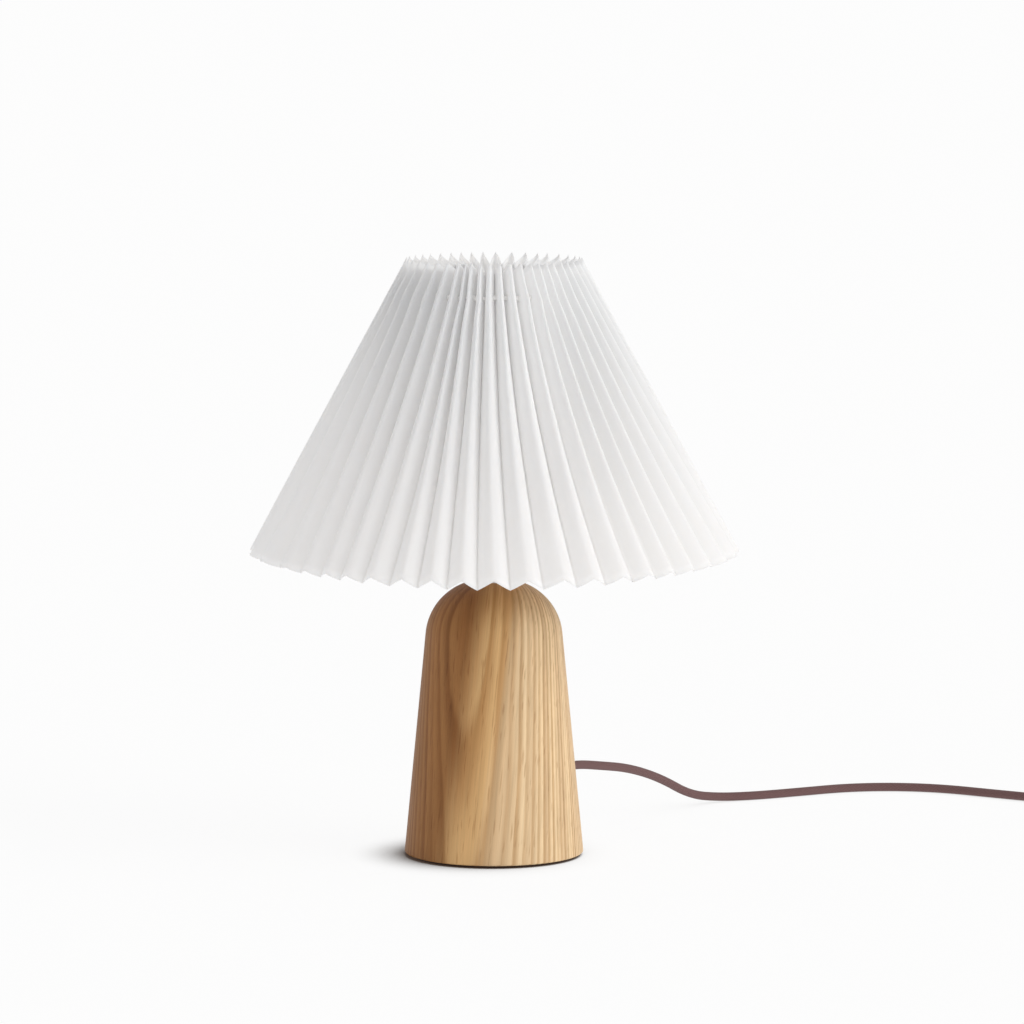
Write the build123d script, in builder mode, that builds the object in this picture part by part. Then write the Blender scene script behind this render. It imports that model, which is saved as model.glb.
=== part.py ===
from build123d import *
from math import atan2, cos, hypot, pi, radians, sin, tan
import os

# Pleated paper table lamp: a turned wooden foot with a domed top, a screw lampholder, a wire
# shade carrier, a cone of pleated paper tied with a thread, an opal bulb, and a textile cord
# with an in-line rocker switch and a two-pin plug.
#
# Millimetres, +Z up. The origin is the centre of the foot's underside, on the table. The front
# is -Y, and the cord leaves the foot at the back right.

# ---------------------------------------------------------------- driving dimensions

# wooden foot
FOOT_R = 55.0  # radius of the underside
FOOT_TOP = 169.6  # height of the crown above the table
FOOT_TAPER = 5.5  # degrees that the side leans in
DOME_R = 36.0  # rounding from the side into the crown
FOOT_EDGE = 1.0  # small rounding round the underside
SEAT_DEPTH = 1.0  # flat sunk in the crown for the holder washer

# underside
PAD_T = 1.5  # felt
PAD_INSET = 3.5  # from the edge of the foot
PLATE_R = 40.0  # steel closing plate, which is also the weight
PLATE_T = 6.0
PLATE_SCREW_OUT = 31.5  # from the lamp's axis
PLATE_SCREW_COUNT = 3
PLATE_SCREW_R = 2.0
PLATE_SCREW_LENGTH = 22.0
PLATE_SCREW_HEAD_R = 4.0
SCREW_CROSS = 1.3  # width of the cross cut in the heads
CHAMBER_R = 24.0  # wiring chamber
CHAMBER_TOP = 82.0

# mains cord
CORD_R = 2.75  # textile-covered flex
CORD_Z = 44.0  # height at which it leaves the foot
CORD_AZIMUTH = 55.0  # direction in which it leaves, from +X towards +Y
CORD_BEND_R = 14.0  # bend from the side hole up into the tube
CORD_HOLE_R = 3.6
CORD_STRAIGHT = 16.0  # the cord runs straight on past the bush
WIRE_R = 1.0  # one insulated conductor
WIRE_SPREAD = 1.4  # half the distance between the two conductors in the cord
WIRE_BEND_R = 1.5
WIRE_PART = 0.3  # share of the rise at which the conductors part
WIRE_PARTED = 0.45  # and at which each is under its terminal

# bush that guards the cord where it leaves the foot
BUSH_R = 6.0
BUSH_DEPTH = 12.0
BUSH_NOSE = 22.0  # tapered length outside the foot
BUSH_NOSE_R = 5.0
BUSH_TIP_R = 3.7
BUSH_SLOT = 1.4  # flexing slots cut across the nose from both sides
BUSH_SLOTS = 3

# clamp on the cord inside the chamber
STOP_SIZE = 13.0
STOP_LENGTH = 7.0
STOP_WALL_GAP = 1.5
STOP_SPLIT = 0.4  # between the two halves
STOP_CORNER = 2.2
STOP_SCREW_R = 1.2
STOP_SCREW_OUT = 4.3  # each side of the cord
STOP_SCREW_HEAD_R = 2.0

# threaded tube through the foot, with its nut and washers
TUBE_R = 5.0
TUBE_BORE_R = 4.0
TUBE_BELOW = 9.0  # below the chamber roof
TUBE_IN_CAP = 10.0  # above the seat washer, inside the holder cap
TUBE_CHAMFER = 0.5
NUT_ACROSS = 14.0
NUT_T = 5.0
WASHER_R = 9.0
WASHER_T = 2.0
SEAT_R = 12.0
SEAT_T = 2.0
SEAT_EDGE = 0.6

# lampholder
CAP_R = 19.5
CAP_HEIGHT = 26.0
CAP_NECK_R = 9.0
CAP_NECK_HEIGHT = 7.0
CAP_SHOULDER = 17.5  # height at which the cap reaches its full radius
CAP_FLARE = (1, 0.35)  # direction in which the cap's side leaves its neck
CAP_WALL = 2.5
CAP_FLOOR = 10.0  # thickness of the threaded boss
CAP_FLOOR_R = 12.5
SHELL_NECK = 7.0  # part of the shell inside the cap
SHELL_SKIRT = 5.0  # smooth band above the cap
FLANGE_R = 22.5
FLANGE_T = 2.0
SLEEVE_R = 19.7  # threaded outside that takes the shade ring
SLEEVE_HEIGHT = 27.0
MOUTH_R = 14.4
MOUTH_EDGE = 1.2
SHELL_WALL = 1.5
INSERT_T = 16.0
TERMINAL_OUT = 8.4  # each side of the axis
TERMINAL_R = 2.0
CONTACT_WIDTH = 5.0
CONTACT_T = 0.5
SIDE_CONTACT_HEIGHT = 11.0
GALLERY_R = 26.0  # flat ring of the shade carrier, clamped on the holder
GALLERY_T = 1.5
SHADE_RING_R = 24.0
SHADE_RING_T = 6.0
RING_GRIPS = 12
GRIP_R = 1.6
GRIP_OUT = 24.6  # centres of the grips' hollows

# wire shade carrier
WIRE_D = 2.5
ARM_COUNT = 3
ARM_FIRST = 90.0  # azimuth of the first arm
ARM_OUT_R = 45.0  # how far the arms stand out beside the bulb
ARM_BEND_R = 14.0
WELD_SINK = 0.6  # the arms end this far below the middle of the top ring's wire
CARRIER_DOWN = 29.0  # from the shade's upper rim to the ring on which its folds rest

# bulb
BULB_R = 30.0
BULB_LENGTH = 108.0
BULB_NECK_R = 13.6
BULB_NECK_FLARE = 1.0  # how much the neck widens upwards
BULB_NECK_BLEND = 28.0
GLASS_T = 1.2
BULB_CAP_R = 13.1
BULB_CAP_LENGTH = 22.5
BULB_CAP_INSET = 1.2  # its lower edge is turned in
BULB_CAP_TURN = 2.0
BULB_INSULATOR_T = 3.0
BULB_CONTACT_R = 4.8
BULB_CONTACT_T = 1.3
BULB_CONTACT_EDGE = 0.8
BULB_CONTACT_MARGIN = 0.5  # of the insulator round the end contact
CONTACT_LIFT = 2.2  # spring contact, above the insert

# pleated shade
PLEATS = 44
SHADE_BOTTOM_R = 150.0  # outer folds
SHADE_BOTTOM_Z = 187.6
SHADE_TOP_R = 53.6
SHADE_TOP_Z = 367.0
PLEAT_TOP_DEPTH = 13.0  # outer fold to inner fold, along the radius, at the upper rim
PLEAT_BOTTOM_DEPTH = 5.0  # and at the lower rim, where the folds open out
RIM_DROP = 6.0  # the inner corners of the lower rim hang this far below the outer ones
PAPER_T = 0.6
RIM_MARGIN = 3.0  # the zigzag is drawn this far past both rims and then cut
THREAD_DOWN = 20.4  # from the upper rim
THREAD_R = 0.5

# in-line switch, which lies along Y beside the coil
SWITCH_X = 396.0
SWITCH_Y = 92.0
SWITCH_LENGTH = 62.0
SWITCH_WIDTH = 26.0
SWITCH_HEIGHT = 18.0
SWITCH_WALL = 2.0
SWITCH_CORNER = 10.0
SWITCH_EDGE = 3.0
BLOCK_LENGTH = 8.0  # terminal block at each end
BLOCK_WIDTH = 9.0
BLOCK_GAP = 0.4  # between a block and the end wall
ROCKER_LENGTH = 20.0
ROCKER_WIDTH = 11.0
ROCKER_TILT = 9.0  # degrees each side of level
ROCKER_PIN_R = 1.0
ROCKER_CREST = 1.8  # its ends stand this far above the cover when level
ROCKER_HOLLOW = 0.6
ROCKER_BELLY = 2.5
ROCKER_SKIRT = 1.6  # its ends reach this far below the pin
ROCKER_DEPTH = 4.0  # and its middle this far
PIN_COVER_GAP = 0.5  # between the pin and the cover's inside
PIN_OVERHANG = 2.5  # each side of the rocker
LUG_OUT = 1.5  # middle of a lug, beside the rocker
LUG_T = 2.0
LUG_LENGTH = 8.0
LUG_ABOVE_PIN = 1.2
STRIP_WIDTH = 2.4
STRIP_T = 0.8
STRIP_OUT = 4.2
STRIP_INNER = 3.0  # where each strip begins, beyond the middle
SWITCH_SCREW_R = 1.3
SWITCH_PILLAR_R = 2.8

# coil of the cord that is put away, and its tie
COIL_X = 436.5
COIL_Y = 14.0
COIL_OUTER_R = 40.5
COIL_PITCH = 6.0
COIL_HALF_TURNS = 5  # in each of the two layers
LEAD_SHARES = (0.23, 0.5, 0.76)  # bends of the cord between the switch and the coil
LEAD_SWAY = 0.8
LEAD_RISE = 2.3
END_SHARES = (0.18, 0.42, 0.68)  # bends of the cord between the coil and the plug
END_SWAY = 1.5
END_RISE = 1.4
TIE_WIDTH = 10.0
TIE_T = 1.0
TIE_GAP = 0.4
TIE_SIDE_GAP = 1.4
TIE_CORNER = 1.5

# plug
PLUG_X = 477.0
PLUG_Y = 88.0  # tip of the sleeve, where the cord goes in
PLUG_WIDTH = 35.0
PLUG_T = 13.7
PLUG_FRONT = 12.0
PLUG_BODY = 31.0
PLUG_SLEEVE = 20.0
PLUG_NECK_WIDTH = 15.0
PLUG_NECK_T = 11.0
PIN_PITCH = 19.0
PIN_R = 2.0
PIN_LENGTH = 19.0
PIN_SLEEVE = 10.0
PIN_CORE_R = 1.55
PIN_TIP = 1.2  # rounding
PIN_SLEEVE_INSET = 0.1
PLUG_FACE_EDGE = 0.8
PLUG_CORNER = 6.5
PLUG_NECK_CORNER = 5.2
PLUG_SLEEVE_INSET = 0.8  # where the sleeve leaves the neck
PLUG_TIP_WALL = 0.9  # of the sleeve at its tip

# clearances
THREAD_GAP = 0.05  # screwed or pressed pieces, on the radius
FIT_GAP = 0.1  # pieces that drop into one another
REST_GAP = 0.3  # pieces that come apart in use

# ---------------------------------------------------------------- levels that follow

FOOT_Z = PAD_T
SEAT_Z = FOOT_TOP - SEAT_DEPTH
CAP_Z = SEAT_Z + SEAT_T
CAP_TOP = CAP_Z + CAP_HEIGHT
CAP_INSIDE_R = CAP_R - CAP_WALL
CAP_FLOOR_Z = CAP_Z + CAP_FLOOR
TUBE_TOP = CAP_Z + TUBE_IN_CAP
SHELL_NECK_R = CAP_INSIDE_R - FIT_GAP
SHELL_BORE_R = SHELL_NECK_R - SHELL_WALL
FLANGE_Z = CAP_TOP + SHELL_SKIRT
GALLERY_Z = FLANGE_Z + FLANGE_T
SHADE_RING_Z = GALLERY_Z + GALLERY_T
MOUTH_Z = GALLERY_Z + SLEEVE_HEIGHT
INSERT_TOP = GALLERY_Z + FLANGE_T
INSERT_Z = INSERT_TOP - INSERT_T
BULB_Z = INSERT_TOP + CONTACT_LIFT
BULB_CAP_Z = BULB_Z + BULB_CONTACT_T + BULB_INSULATOR_T
GLASS_Z = BULB_CAP_Z + BULB_CAP_LENGTH
BULB_CENTRE_Z = BULB_Z + BULB_LENGTH - BULB_R
BUSH_BORE_R = CORD_R + THREAD_GAP
SWITCH_AXIS_Z = SWITCH_HEIGHT / 2
COIL_Z = TIE_T + TIE_GAP + CORD_R
COIL_TOP_Z = COIL_Z + COIL_PITCH
PLUG_Z = PLUG_T / 2
CORD_FLOOR_Z = CORD_R
CARRIER_Z = SHADE_TOP_Z - CARRIER_DOWN
THREAD_Z = SHADE_TOP_Z - THREAD_DOWN


def foot_radius(height):
    """Radius of the foot's straight side at a height above the table."""
    return FOOT_R - (height - FOOT_Z) * tan(radians(FOOT_TAPER))


# The outer folds lean in at one rate, and the upper rim stands square to them. The inner folds
# lean a little more, so that the pleats are deep at the upper rim and shallow at the lower.
FOLD_RATE = (SHADE_BOTTOM_R - SHADE_TOP_R) / (SHADE_TOP_Z - SHADE_BOTTOM_Z)
INNER_BOTTOM_R = SHADE_BOTTOM_R - PLEAT_BOTTOM_DEPTH
INNER_BOTTOM_Z = SHADE_BOTTOM_Z - RIM_DROP
INNER_TOP_R = SHADE_TOP_R - PLEAT_TOP_DEPTH
INNER_TOP_Z = SHADE_TOP_Z - FOLD_RATE * PLEAT_TOP_DEPTH
INNER_RATE = (INNER_BOTTOM_R - INNER_TOP_R) / (INNER_TOP_Z - INNER_BOTTOM_Z)
LOWER_RIM_RATE = RIM_DROP / PLEAT_BOTTOM_DEPTH


def outer_fold(height):
    """Radius of the outer folds at a height."""
    return SHADE_BOTTOM_R - FOLD_RATE * (height - SHADE_BOTTOM_Z)


def inner_fold(height):
    """Radius of the inner folds at a height."""
    return INNER_BOTTOM_R - INNER_RATE * (height - INNER_BOTTOM_Z)


def paper_step(height):
    """The paper's thickness, measured along the radius, which a panel crosses at a slant."""
    across = (outer_fold(height) + inner_fold(height)) / 2 * pi / PLEATS
    deep = outer_fold(height) - inner_fold(height)
    return PAPER_T * hypot(deep, across) / across


# The zigzag is drawn a little past both rims, which are then cut.
PLEAT_LOW = INNER_BOTTOM_Z - RIM_MARGIN
PLEAT_HIGH = SHADE_TOP_Z + RIM_MARGIN


def inside_fold(height):
    """Radius that the inside of the paper keeps clear, at its inner folds."""
    share = (height - PLEAT_LOW) / (PLEAT_HIGH - PLEAT_LOW)
    step = paper_step(PLEAT_LOW) * (1 - share) + paper_step(PLEAT_HIGH) * share
    return inner_fold(height) - step


def upright_plane(azimuth):
    """The upright half plane at an azimuth: its x runs outwards, and its y upwards."""
    way = radians(azimuth)
    return Plane(origin=(0, 0, 0), x_dir=(cos(way), sin(way), 0), z_dir=(sin(way), -cos(way), 0))


CORD_OUT = Vector(cos(radians(CORD_AZIMUTH)), sin(radians(CORD_AZIMUTH)), 0)
CORD_SIDE = Vector(-CORD_OUT.Y, CORD_OUT.X, 0)
SIDE_R = foot_radius(CORD_Z)
BUSH_INNER = SIDE_R - BUSH_DEPTH
BUSH_TIP = SIDE_R + BUSH_NOSE
CORD_AXIS = Axis((0, 0, CORD_Z), tuple(CORD_OUT))


def outwards(distance):
    """The plane square to the cord's exit, at a distance from the lamp's axis."""
    origin = CORD_OUT * distance + Vector(0, 0, CORD_Z)
    return Plane(origin=origin, x_dir=CORD_SIDE, z_dir=CORD_OUT)


CORNER_SHARE = 0.45  # of a run that the arc at its end takes up


def corner_radii(points):
    """The radius for each corner of a cord: as large as its two runs allow."""
    spots = [Vector(*p) for p in points]
    radii = []
    for before, here, after in zip(spots, spots[1:], spots[2:]):
        into = here - before
        out = after - here
        turn = radians(into.get_angle(out))
        radii.append(CORNER_SHARE * min(into.length, out.length) / tan(turn / 2))
    return radii


def cord_length(points, radii):
    """Length of the runs, with each corner cut by its arc."""
    spots = [Vector(*p) for p in points]
    total = sum((b - a).length for a, b in zip(spots, spots[1:]))
    for before, here, after, radius in zip(spots, spots[1:], spots[2:], radii):
        turn = radians((here - before).get_angle(after - here))
        total -= radius * (2 * tan(turn / 2) - turn)
    return total


def report_cord(name, solid, length, radius=CORD_R):
    """Print how a tube's volume compares with its section times its length."""
    print(f"{name}: length {length:.1f}, volume ratio {solid.volume / (pi * radius**2 * length):.4f}")


os.makedirs("parts", exist_ok=True)

# ---------------------------------------------------------------- foot

with BuildPart() as wood_base:
    with BuildSketch(Plane.XZ):
        with BuildLine():
            Polyline(
                (0, FOOT_Z),
                (FOOT_R, FOOT_Z),
                (foot_radius(FOOT_TOP), FOOT_TOP),
                (0, FOOT_TOP),
                close=True,
            )
        make_face()
    revolve(axis=Axis.Z)
    rims = wood_base.edges().filter_by(GeomType.CIRCLE).sort_by(Axis.Z)
    fillet(rims[-1], DOME_R)
    fillet(wood_base.edges().filter_by(GeomType.CIRCLE).sort_by(Axis.Z)[0], FOOT_EDGE)
    # bore for the threaded tube, with the washer's seat in the crown
    with Locations((0, 0, FOOT_TOP)):
        CounterBoreHole(TUBE_R + REST_GAP, SEAT_R + FIT_GAP, SEAT_DEPTH)
    # wiring chamber and the recess for its closing plate
    with BuildSketch(Plane.XY.offset(FOOT_Z)):
        Circle(CHAMBER_R)
    extrude(amount=CHAMBER_TOP - FOOT_Z, mode=Mode.SUBTRACT)
    with BuildSketch(Plane.XY.offset(FOOT_Z)):
        Circle(PLATE_R + FIT_GAP)
    extrude(amount=PLATE_T, mode=Mode.SUBTRACT)
    # pilot holes for the plate's screws
    with BuildSketch(Plane.XY.offset(FOOT_Z)):
        with PolarLocations(PLATE_SCREW_OUT, PLATE_SCREW_COUNT):
            Circle(PLATE_SCREW_R + THREAD_GAP)
    extrude(amount=PLATE_SCREW_LENGTH + FIT_GAP, mode=Mode.SUBTRACT)
    # side hole for the cord, with the bush's seat
    with BuildSketch(outwards(0)):
        Circle(CORD_HOLE_R)
    extrude(amount=SIDE_R + FOOT_EDGE, mode=Mode.SUBTRACT)
    with BuildSketch(outwards(BUSH_INNER)):
        Circle(BUSH_R + THREAD_GAP)
    extrude(amount=BUSH_DEPTH + FOOT_EDGE, mode=Mode.SUBTRACT)

with BuildPart() as felt_pad:
    with BuildSketch():
        Circle(FOOT_R - PAD_INSET)
    extrude(amount=PAD_T)

with BuildPart() as base_plate:
    with BuildSketch(Plane.XY.offset(FOOT_Z)):
        Circle(PLATE_R)
        with PolarLocations(PLATE_SCREW_OUT, PLATE_SCREW_COUNT):
            Circle(PLATE_SCREW_R + FIT_GAP, mode=Mode.SUBTRACT)
    extrude(amount=PLATE_T)
    with BuildSketch(Plane.XY.offset(FOOT_Z)):
        with PolarLocations(PLATE_SCREW_OUT, PLATE_SCREW_COUNT):
            Circle(PLATE_SCREW_HEAD_R + FIT_GAP)
    extrude(amount=PLATE_SCREW_HEAD_R - PLATE_SCREW_R, taper=45, mode=Mode.SUBTRACT)

with BuildPart() as plate_screws:
    with BuildSketch(Plane.XY.offset(FOOT_Z)):
        with PolarLocations(PLATE_SCREW_OUT, PLATE_SCREW_COUNT):
            Circle(PLATE_SCREW_R)
    extrude(amount=PLATE_SCREW_LENGTH)
    with BuildSketch(Plane.XY.offset(FOOT_Z)):
        with PolarLocations(PLATE_SCREW_OUT, PLATE_SCREW_COUNT):
            Circle(PLATE_SCREW_HEAD_R)
    extrude(amount=PLATE_SCREW_HEAD_R - PLATE_SCREW_R, taper=45)
    with BuildSketch(Plane.XY.offset(FOOT_Z)):
        with PolarLocations(PLATE_SCREW_OUT, PLATE_SCREW_COUNT):
            Rectangle(PLATE_SCREW_HEAD_R, SCREW_CROSS)
            Rectangle(SCREW_CROSS, PLATE_SCREW_HEAD_R)
    extrude(amount=PLATE_SCREW_R / 2, mode=Mode.SUBTRACT)

# ---------------------------------------------------------------- cord inside the lamp

with BuildPart() as cord_bush:
    with BuildSketch(upright_plane(CORD_AZIMUTH)):
        with BuildLine():
            Polyline(
                (BUSH_INNER, CORD_Z + BUSH_BORE_R),
                (BUSH_INNER, CORD_Z + BUSH_R),
                (SIDE_R, CORD_Z + BUSH_R),
                (SIDE_R, CORD_Z + BUSH_NOSE_R),
                (BUSH_TIP, CORD_Z + BUSH_TIP_R),
                (BUSH_TIP, CORD_Z + BUSH_BORE_R),
                close=True,
            )
        make_face()
    revolve(axis=CORD_AXIS)
    # flexing slots in the tapered nose
    for step in range(BUSH_SLOTS):
        slot_at = SIDE_R + BUSH_NOSE * (step + 1) / (BUSH_SLOTS + 1)
        for side in (-1, 1):
            with BuildSketch(outwards(slot_at)):
                with Locations((side * BUSH_NOSE_R, 0)):
                    Rectangle(BUSH_NOSE_R, BUSH_NOSE_R)
            extrude(amount=BUSH_SLOT, mode=Mode.SUBTRACT)

cord_end_z = CAP_FLOOR_Z + WIRE_R
with BuildPart() as inner_cord:
    with BuildLine() as inner_path:
        FilletPolyline(
            CORD_OUT * BUSH_TIP + Vector(0, 0, CORD_Z),
            Vector(0, 0, CORD_Z),
            Vector(0, 0, cord_end_z),
            radius=CORD_BEND_R,
        )
    with BuildSketch(Plane(origin=inner_path.line @ 0, z_dir=inner_path.line % 0)):
        Circle(CORD_R)
    sweep(path=inner_path.line)

stop_outer = CHAMBER_R - STOP_WALL_GAP
with BuildPart() as cord_stop:
    with BuildSketch(outwards(stop_outer - STOP_LENGTH)):
        RectangleRounded(STOP_SIZE, STOP_SIZE, STOP_CORNER)
        Circle(CORD_R, mode=Mode.SUBTRACT)
        Rectangle(STOP_SIZE, STOP_SPLIT, mode=Mode.SUBTRACT)
    extrude(amount=STOP_LENGTH)
    with BuildSketch(Plane.XY.offset(CORD_Z - STOP_SIZE / 2)):
        for side in (-1, 1):
            spot = CORD_OUT * (stop_outer - STOP_LENGTH / 2) + CORD_SIDE * (side * STOP_SCREW_OUT)
            with Locations((spot.X, spot.Y)):
                Circle(STOP_SCREW_R + THREAD_GAP)
    extrude(amount=STOP_SIZE, mode=Mode.SUBTRACT)

with BuildPart() as stop_screws:
    for side in (-1, 1):
        spot = CORD_OUT * (stop_outer - STOP_LENGTH / 2) + CORD_SIDE * (side * STOP_SCREW_OUT)
        with BuildSketch(Plane.XY.offset(CORD_Z - STOP_SIZE / 2)):
            with Locations((spot.X, spot.Y)):
                Circle(STOP_SCREW_R)
        extrude(amount=STOP_SIZE)
        with BuildSketch(Plane.XY.offset(CORD_Z - STOP_SIZE / 2)):
            with Locations((spot.X, spot.Y)):
                Circle(STOP_SCREW_HEAD_R)
        extrude(amount=-STOP_SCREW_R)

# ---------------------------------------------------------------- tube, nut and washers

with BuildPart() as lamp_tube:
    with BuildSketch(Plane.XY.offset(CHAMBER_TOP - TUBE_BELOW)):
        Circle(TUBE_R)
        Circle(TUBE_BORE_R, mode=Mode.SUBTRACT)
    extrude(amount=TUBE_TOP - CHAMBER_TOP + TUBE_BELOW)
    chamfer(lamp_tube.edges().filter_by(GeomType.CIRCLE).group_by(SortBy.RADIUS)[-1], TUBE_CHAMFER)

with BuildPart() as tube_washer:
    with BuildSketch(Plane.XY.offset(CHAMBER_TOP - WASHER_T)):
        Circle(WASHER_R)
        Circle(TUBE_R + THREAD_GAP, mode=Mode.SUBTRACT)
    extrude(amount=WASHER_T)

with BuildPart() as tube_nut:
    with BuildSketch(Plane.XY.offset(CHAMBER_TOP - WASHER_T - NUT_T)):
        RegularPolygon(NUT_ACROSS / 2, 6, major_radius=False)
        Circle(TUBE_R + THREAD_GAP, mode=Mode.SUBTRACT)
    extrude(amount=NUT_T)

with BuildPart() as seat_washer:
    with BuildSketch(Plane.XY.offset(SEAT_Z)):
        Circle(SEAT_R)
        Circle(TUBE_R + THREAD_GAP, mode=Mode.SUBTRACT)
    extrude(amount=SEAT_T)
    top_rims = seat_washer.edges().filter_by(GeomType.CIRCLE).group_by(Axis.Z)[-1]
    fillet(top_rims.sort_by(SortBy.RADIUS)[-1], SEAT_EDGE)

# ---------------------------------------------------------------- lampholder

with BuildPart() as holder_cap:
    with BuildSketch(Plane.XZ):
        with BuildLine():
            neck_top = CAP_Z + CAP_NECK_HEIGHT
            shoulder = CAP_Z + CAP_SHOULDER
            Line((TUBE_R + THREAD_GAP, CAP_Z), (CAP_NECK_R, CAP_Z))
            Line((CAP_NECK_R, CAP_Z), (CAP_NECK_R, neck_top))
            TangentArc((CAP_NECK_R, neck_top), (CAP_R, shoulder), tangent=CAP_FLARE)
            Line((CAP_R, shoulder), (CAP_R, CAP_TOP))
            Line((CAP_R, CAP_TOP), (CAP_INSIDE_R, CAP_TOP))
            Line((CAP_INSIDE_R, CAP_TOP), (CAP_INSIDE_R, shoulder))
            Line((CAP_INSIDE_R, shoulder), (CAP_FLOOR_R, CAP_FLOOR_Z))
            Line((CAP_FLOOR_R, CAP_FLOOR_Z), (TUBE_R + THREAD_GAP, CAP_FLOOR_Z))
            Line((TUBE_R + THREAD_GAP, CAP_FLOOR_Z), (TUBE_R + THREAD_GAP, CAP_Z))
        make_face()
    revolve(axis=Axis.Z)

with BuildPart() as holder_shell:
    with BuildSketch(Plane.XZ):
        with BuildLine():
            Polyline(
                (SHELL_BORE_R, CAP_TOP - SHELL_NECK),
                (SHELL_NECK_R, CAP_TOP - SHELL_NECK),
                (SHELL_NECK_R, CAP_TOP),
                (CAP_R, CAP_TOP),
                (CAP_R, FLANGE_Z),
                (FLANGE_R, FLANGE_Z),
                (FLANGE_R, GALLERY_Z),
                (SLEEVE_R, GALLERY_Z),
                (SLEEVE_R, MOUTH_Z),
                (MOUTH_R, MOUTH_Z),
                (MOUTH_R, INSERT_TOP),
                (SHELL_BORE_R, INSERT_TOP),
                close=True,
            )
        make_face()
    revolve(axis=Axis.Z)
    fillet(holder_shell.edges().filter_by(GeomType.CIRCLE).group_by(Axis.Z)[-1], MOUTH_EDGE)

with BuildPart() as holder_insert:
    with BuildSketch(Plane.XY.offset(INSERT_Z)):
        Circle(SHELL_BORE_R - FIT_GAP)
        # two wire wells
        with Locations((-TERMINAL_OUT, 0), (TERMINAL_OUT, 0)):
            Circle(TERMINAL_R + THREAD_GAP, mode=Mode.SUBTRACT)
    extrude(amount=INSERT_T)

with BuildPart() as terminal_screws:
    with BuildSketch(Plane.XY.offset(INSERT_Z + INSERT_T / 2)):
        with Locations((-TERMINAL_OUT, 0), (TERMINAL_OUT, 0)):
            Circle(TERMINAL_R)
    extrude(amount=INSERT_T / 2)

with BuildPart() as centre_contact:
    # a leaf spring from the left terminal, bent up under the bulb's end
    with BuildSketch(Plane.XZ.offset(-CONTACT_WIDTH / 2)):
        with BuildLine():
            Polyline(
                (-TERMINAL_OUT, INSERT_TOP),
                (-BULB_CONTACT_R, INSERT_TOP),
                (0, BULB_Z - CONTACT_T),
                (BULB_CONTACT_R / 2, BULB_Z - CONTACT_T),
                (BULB_CONTACT_R / 2, BULB_Z),
                (-CONTACT_T, BULB_Z),
                (-BULB_CONTACT_R - CONTACT_T, INSERT_TOP + CONTACT_T),
                (-TERMINAL_OUT, INSERT_TOP + CONTACT_T),
                close=True,
            )
        make_face()
    extrude(amount=CONTACT_WIDTH)

with BuildPart() as side_contact:
    # a leaf that stands beside the bulb's threaded cap
    with BuildSketch(Plane.XZ.offset(-CONTACT_WIDTH / 2)):
        with BuildLine():
            Polyline(
                (TERMINAL_OUT, INSERT_TOP),
                (MOUTH_R - REST_GAP, INSERT_TOP),
                (MOUTH_R - REST_GAP, INSERT_TOP + SIDE_CONTACT_HEIGHT),
                (MOUTH_R - REST_GAP - CONTACT_T, INSERT_TOP + SIDE_CONTACT_HEIGHT),
                (MOUTH_R - REST_GAP - CONTACT_T, INSERT_TOP + CONTACT_T),
                (TERMINAL_OUT, INSERT_TOP + CONTACT_T),
                close=True,
            )
        make_face()
    extrude(amount=CONTACT_WIDTH)

with BuildPart() as core_wires:
    for side in (-1, 1):
        rise = INSERT_Z + INSERT_T / 2 - cord_end_z
        start = Vector(side * WIRE_SPREAD, 0, cord_end_z)
        with BuildLine() as wire_path:
            FilletPolyline(
                start,
                start + Vector(0, 0, rise * WIRE_PART),
                Vector(side * TERMINAL_OUT, 0, cord_end_z + rise * WIRE_PARTED),
                Vector(side * TERMINAL_OUT, 0, cord_end_z + rise),
                radius=WIRE_BEND_R,
            )
        with BuildSketch(Plane(origin=wire_path.line @ 0, z_dir=wire_path.line % 0)):
            Circle(WIRE_R)
        sweep(path=wire_path.line)

with BuildPart() as shade_ring:
    with BuildSketch(Plane.XY.offset(SHADE_RING_Z)):
        Circle(SHADE_RING_R)
        Circle(SLEEVE_R + THREAD_GAP, mode=Mode.SUBTRACT)
        with PolarLocations(GRIP_OUT, RING_GRIPS):
            Circle(GRIP_R, mode=Mode.SUBTRACT)
    extrude(amount=SHADE_RING_T)

# ---------------------------------------------------------------- shade carrier

# The top ring lies inside the cone of the inner folds, and touches it all round.
fold_lean = hypot(1, INNER_RATE)
carrier_r = inside_fold(CARRIER_Z) - (WIRE_D / 2 + REST_GAP) * fold_lean

with BuildPart() as carrier_gallery:
    with BuildSketch(Plane.XY.offset(GALLERY_Z)):
        Circle(GALLERY_R)
        Circle(SLEEVE_R + FIT_GAP, mode=Mode.SUBTRACT)
    extrude(amount=GALLERY_T)

with BuildPart() as carrier_ring:
    with BuildSketch(Plane.XZ):
        with Locations((carrier_r, CARRIER_Z)):
            Circle(WIRE_D / 2)
    revolve(axis=Axis.Z)

with BuildPart() as carrier_arms:
    for arm in range(ARM_COUNT):
        azimuth = ARM_FIRST + arm * 360 / ARM_COUNT
        arm_z = GALLERY_Z + GALLERY_T / 2
        with BuildLine(upright_plane(azimuth)) as arm_path:
            FilletPolyline(
                (GALLERY_R - WIRE_D / 2, arm_z),
                (ARM_OUT_R, arm_z),
                (carrier_r, CARRIER_Z - WELD_SINK),
                radius=ARM_BEND_R,
            )
        with BuildSketch(Plane(origin=arm_path.line @ 0, z_dir=arm_path.line % 0)):
            Circle(WIRE_D / 2)
        sweep(path=arm_path.line)
    # the welds: each arm stops at the surface of the two rings
    add(carrier_ring.part, mode=Mode.SUBTRACT)
    with BuildSketch(Plane.XY.offset(arm_z - WIRE_D)):
        Circle(GALLERY_R)
    extrude(amount=WIRE_D * 2, mode=Mode.SUBTRACT)

# ---------------------------------------------------------------- bulb

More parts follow.
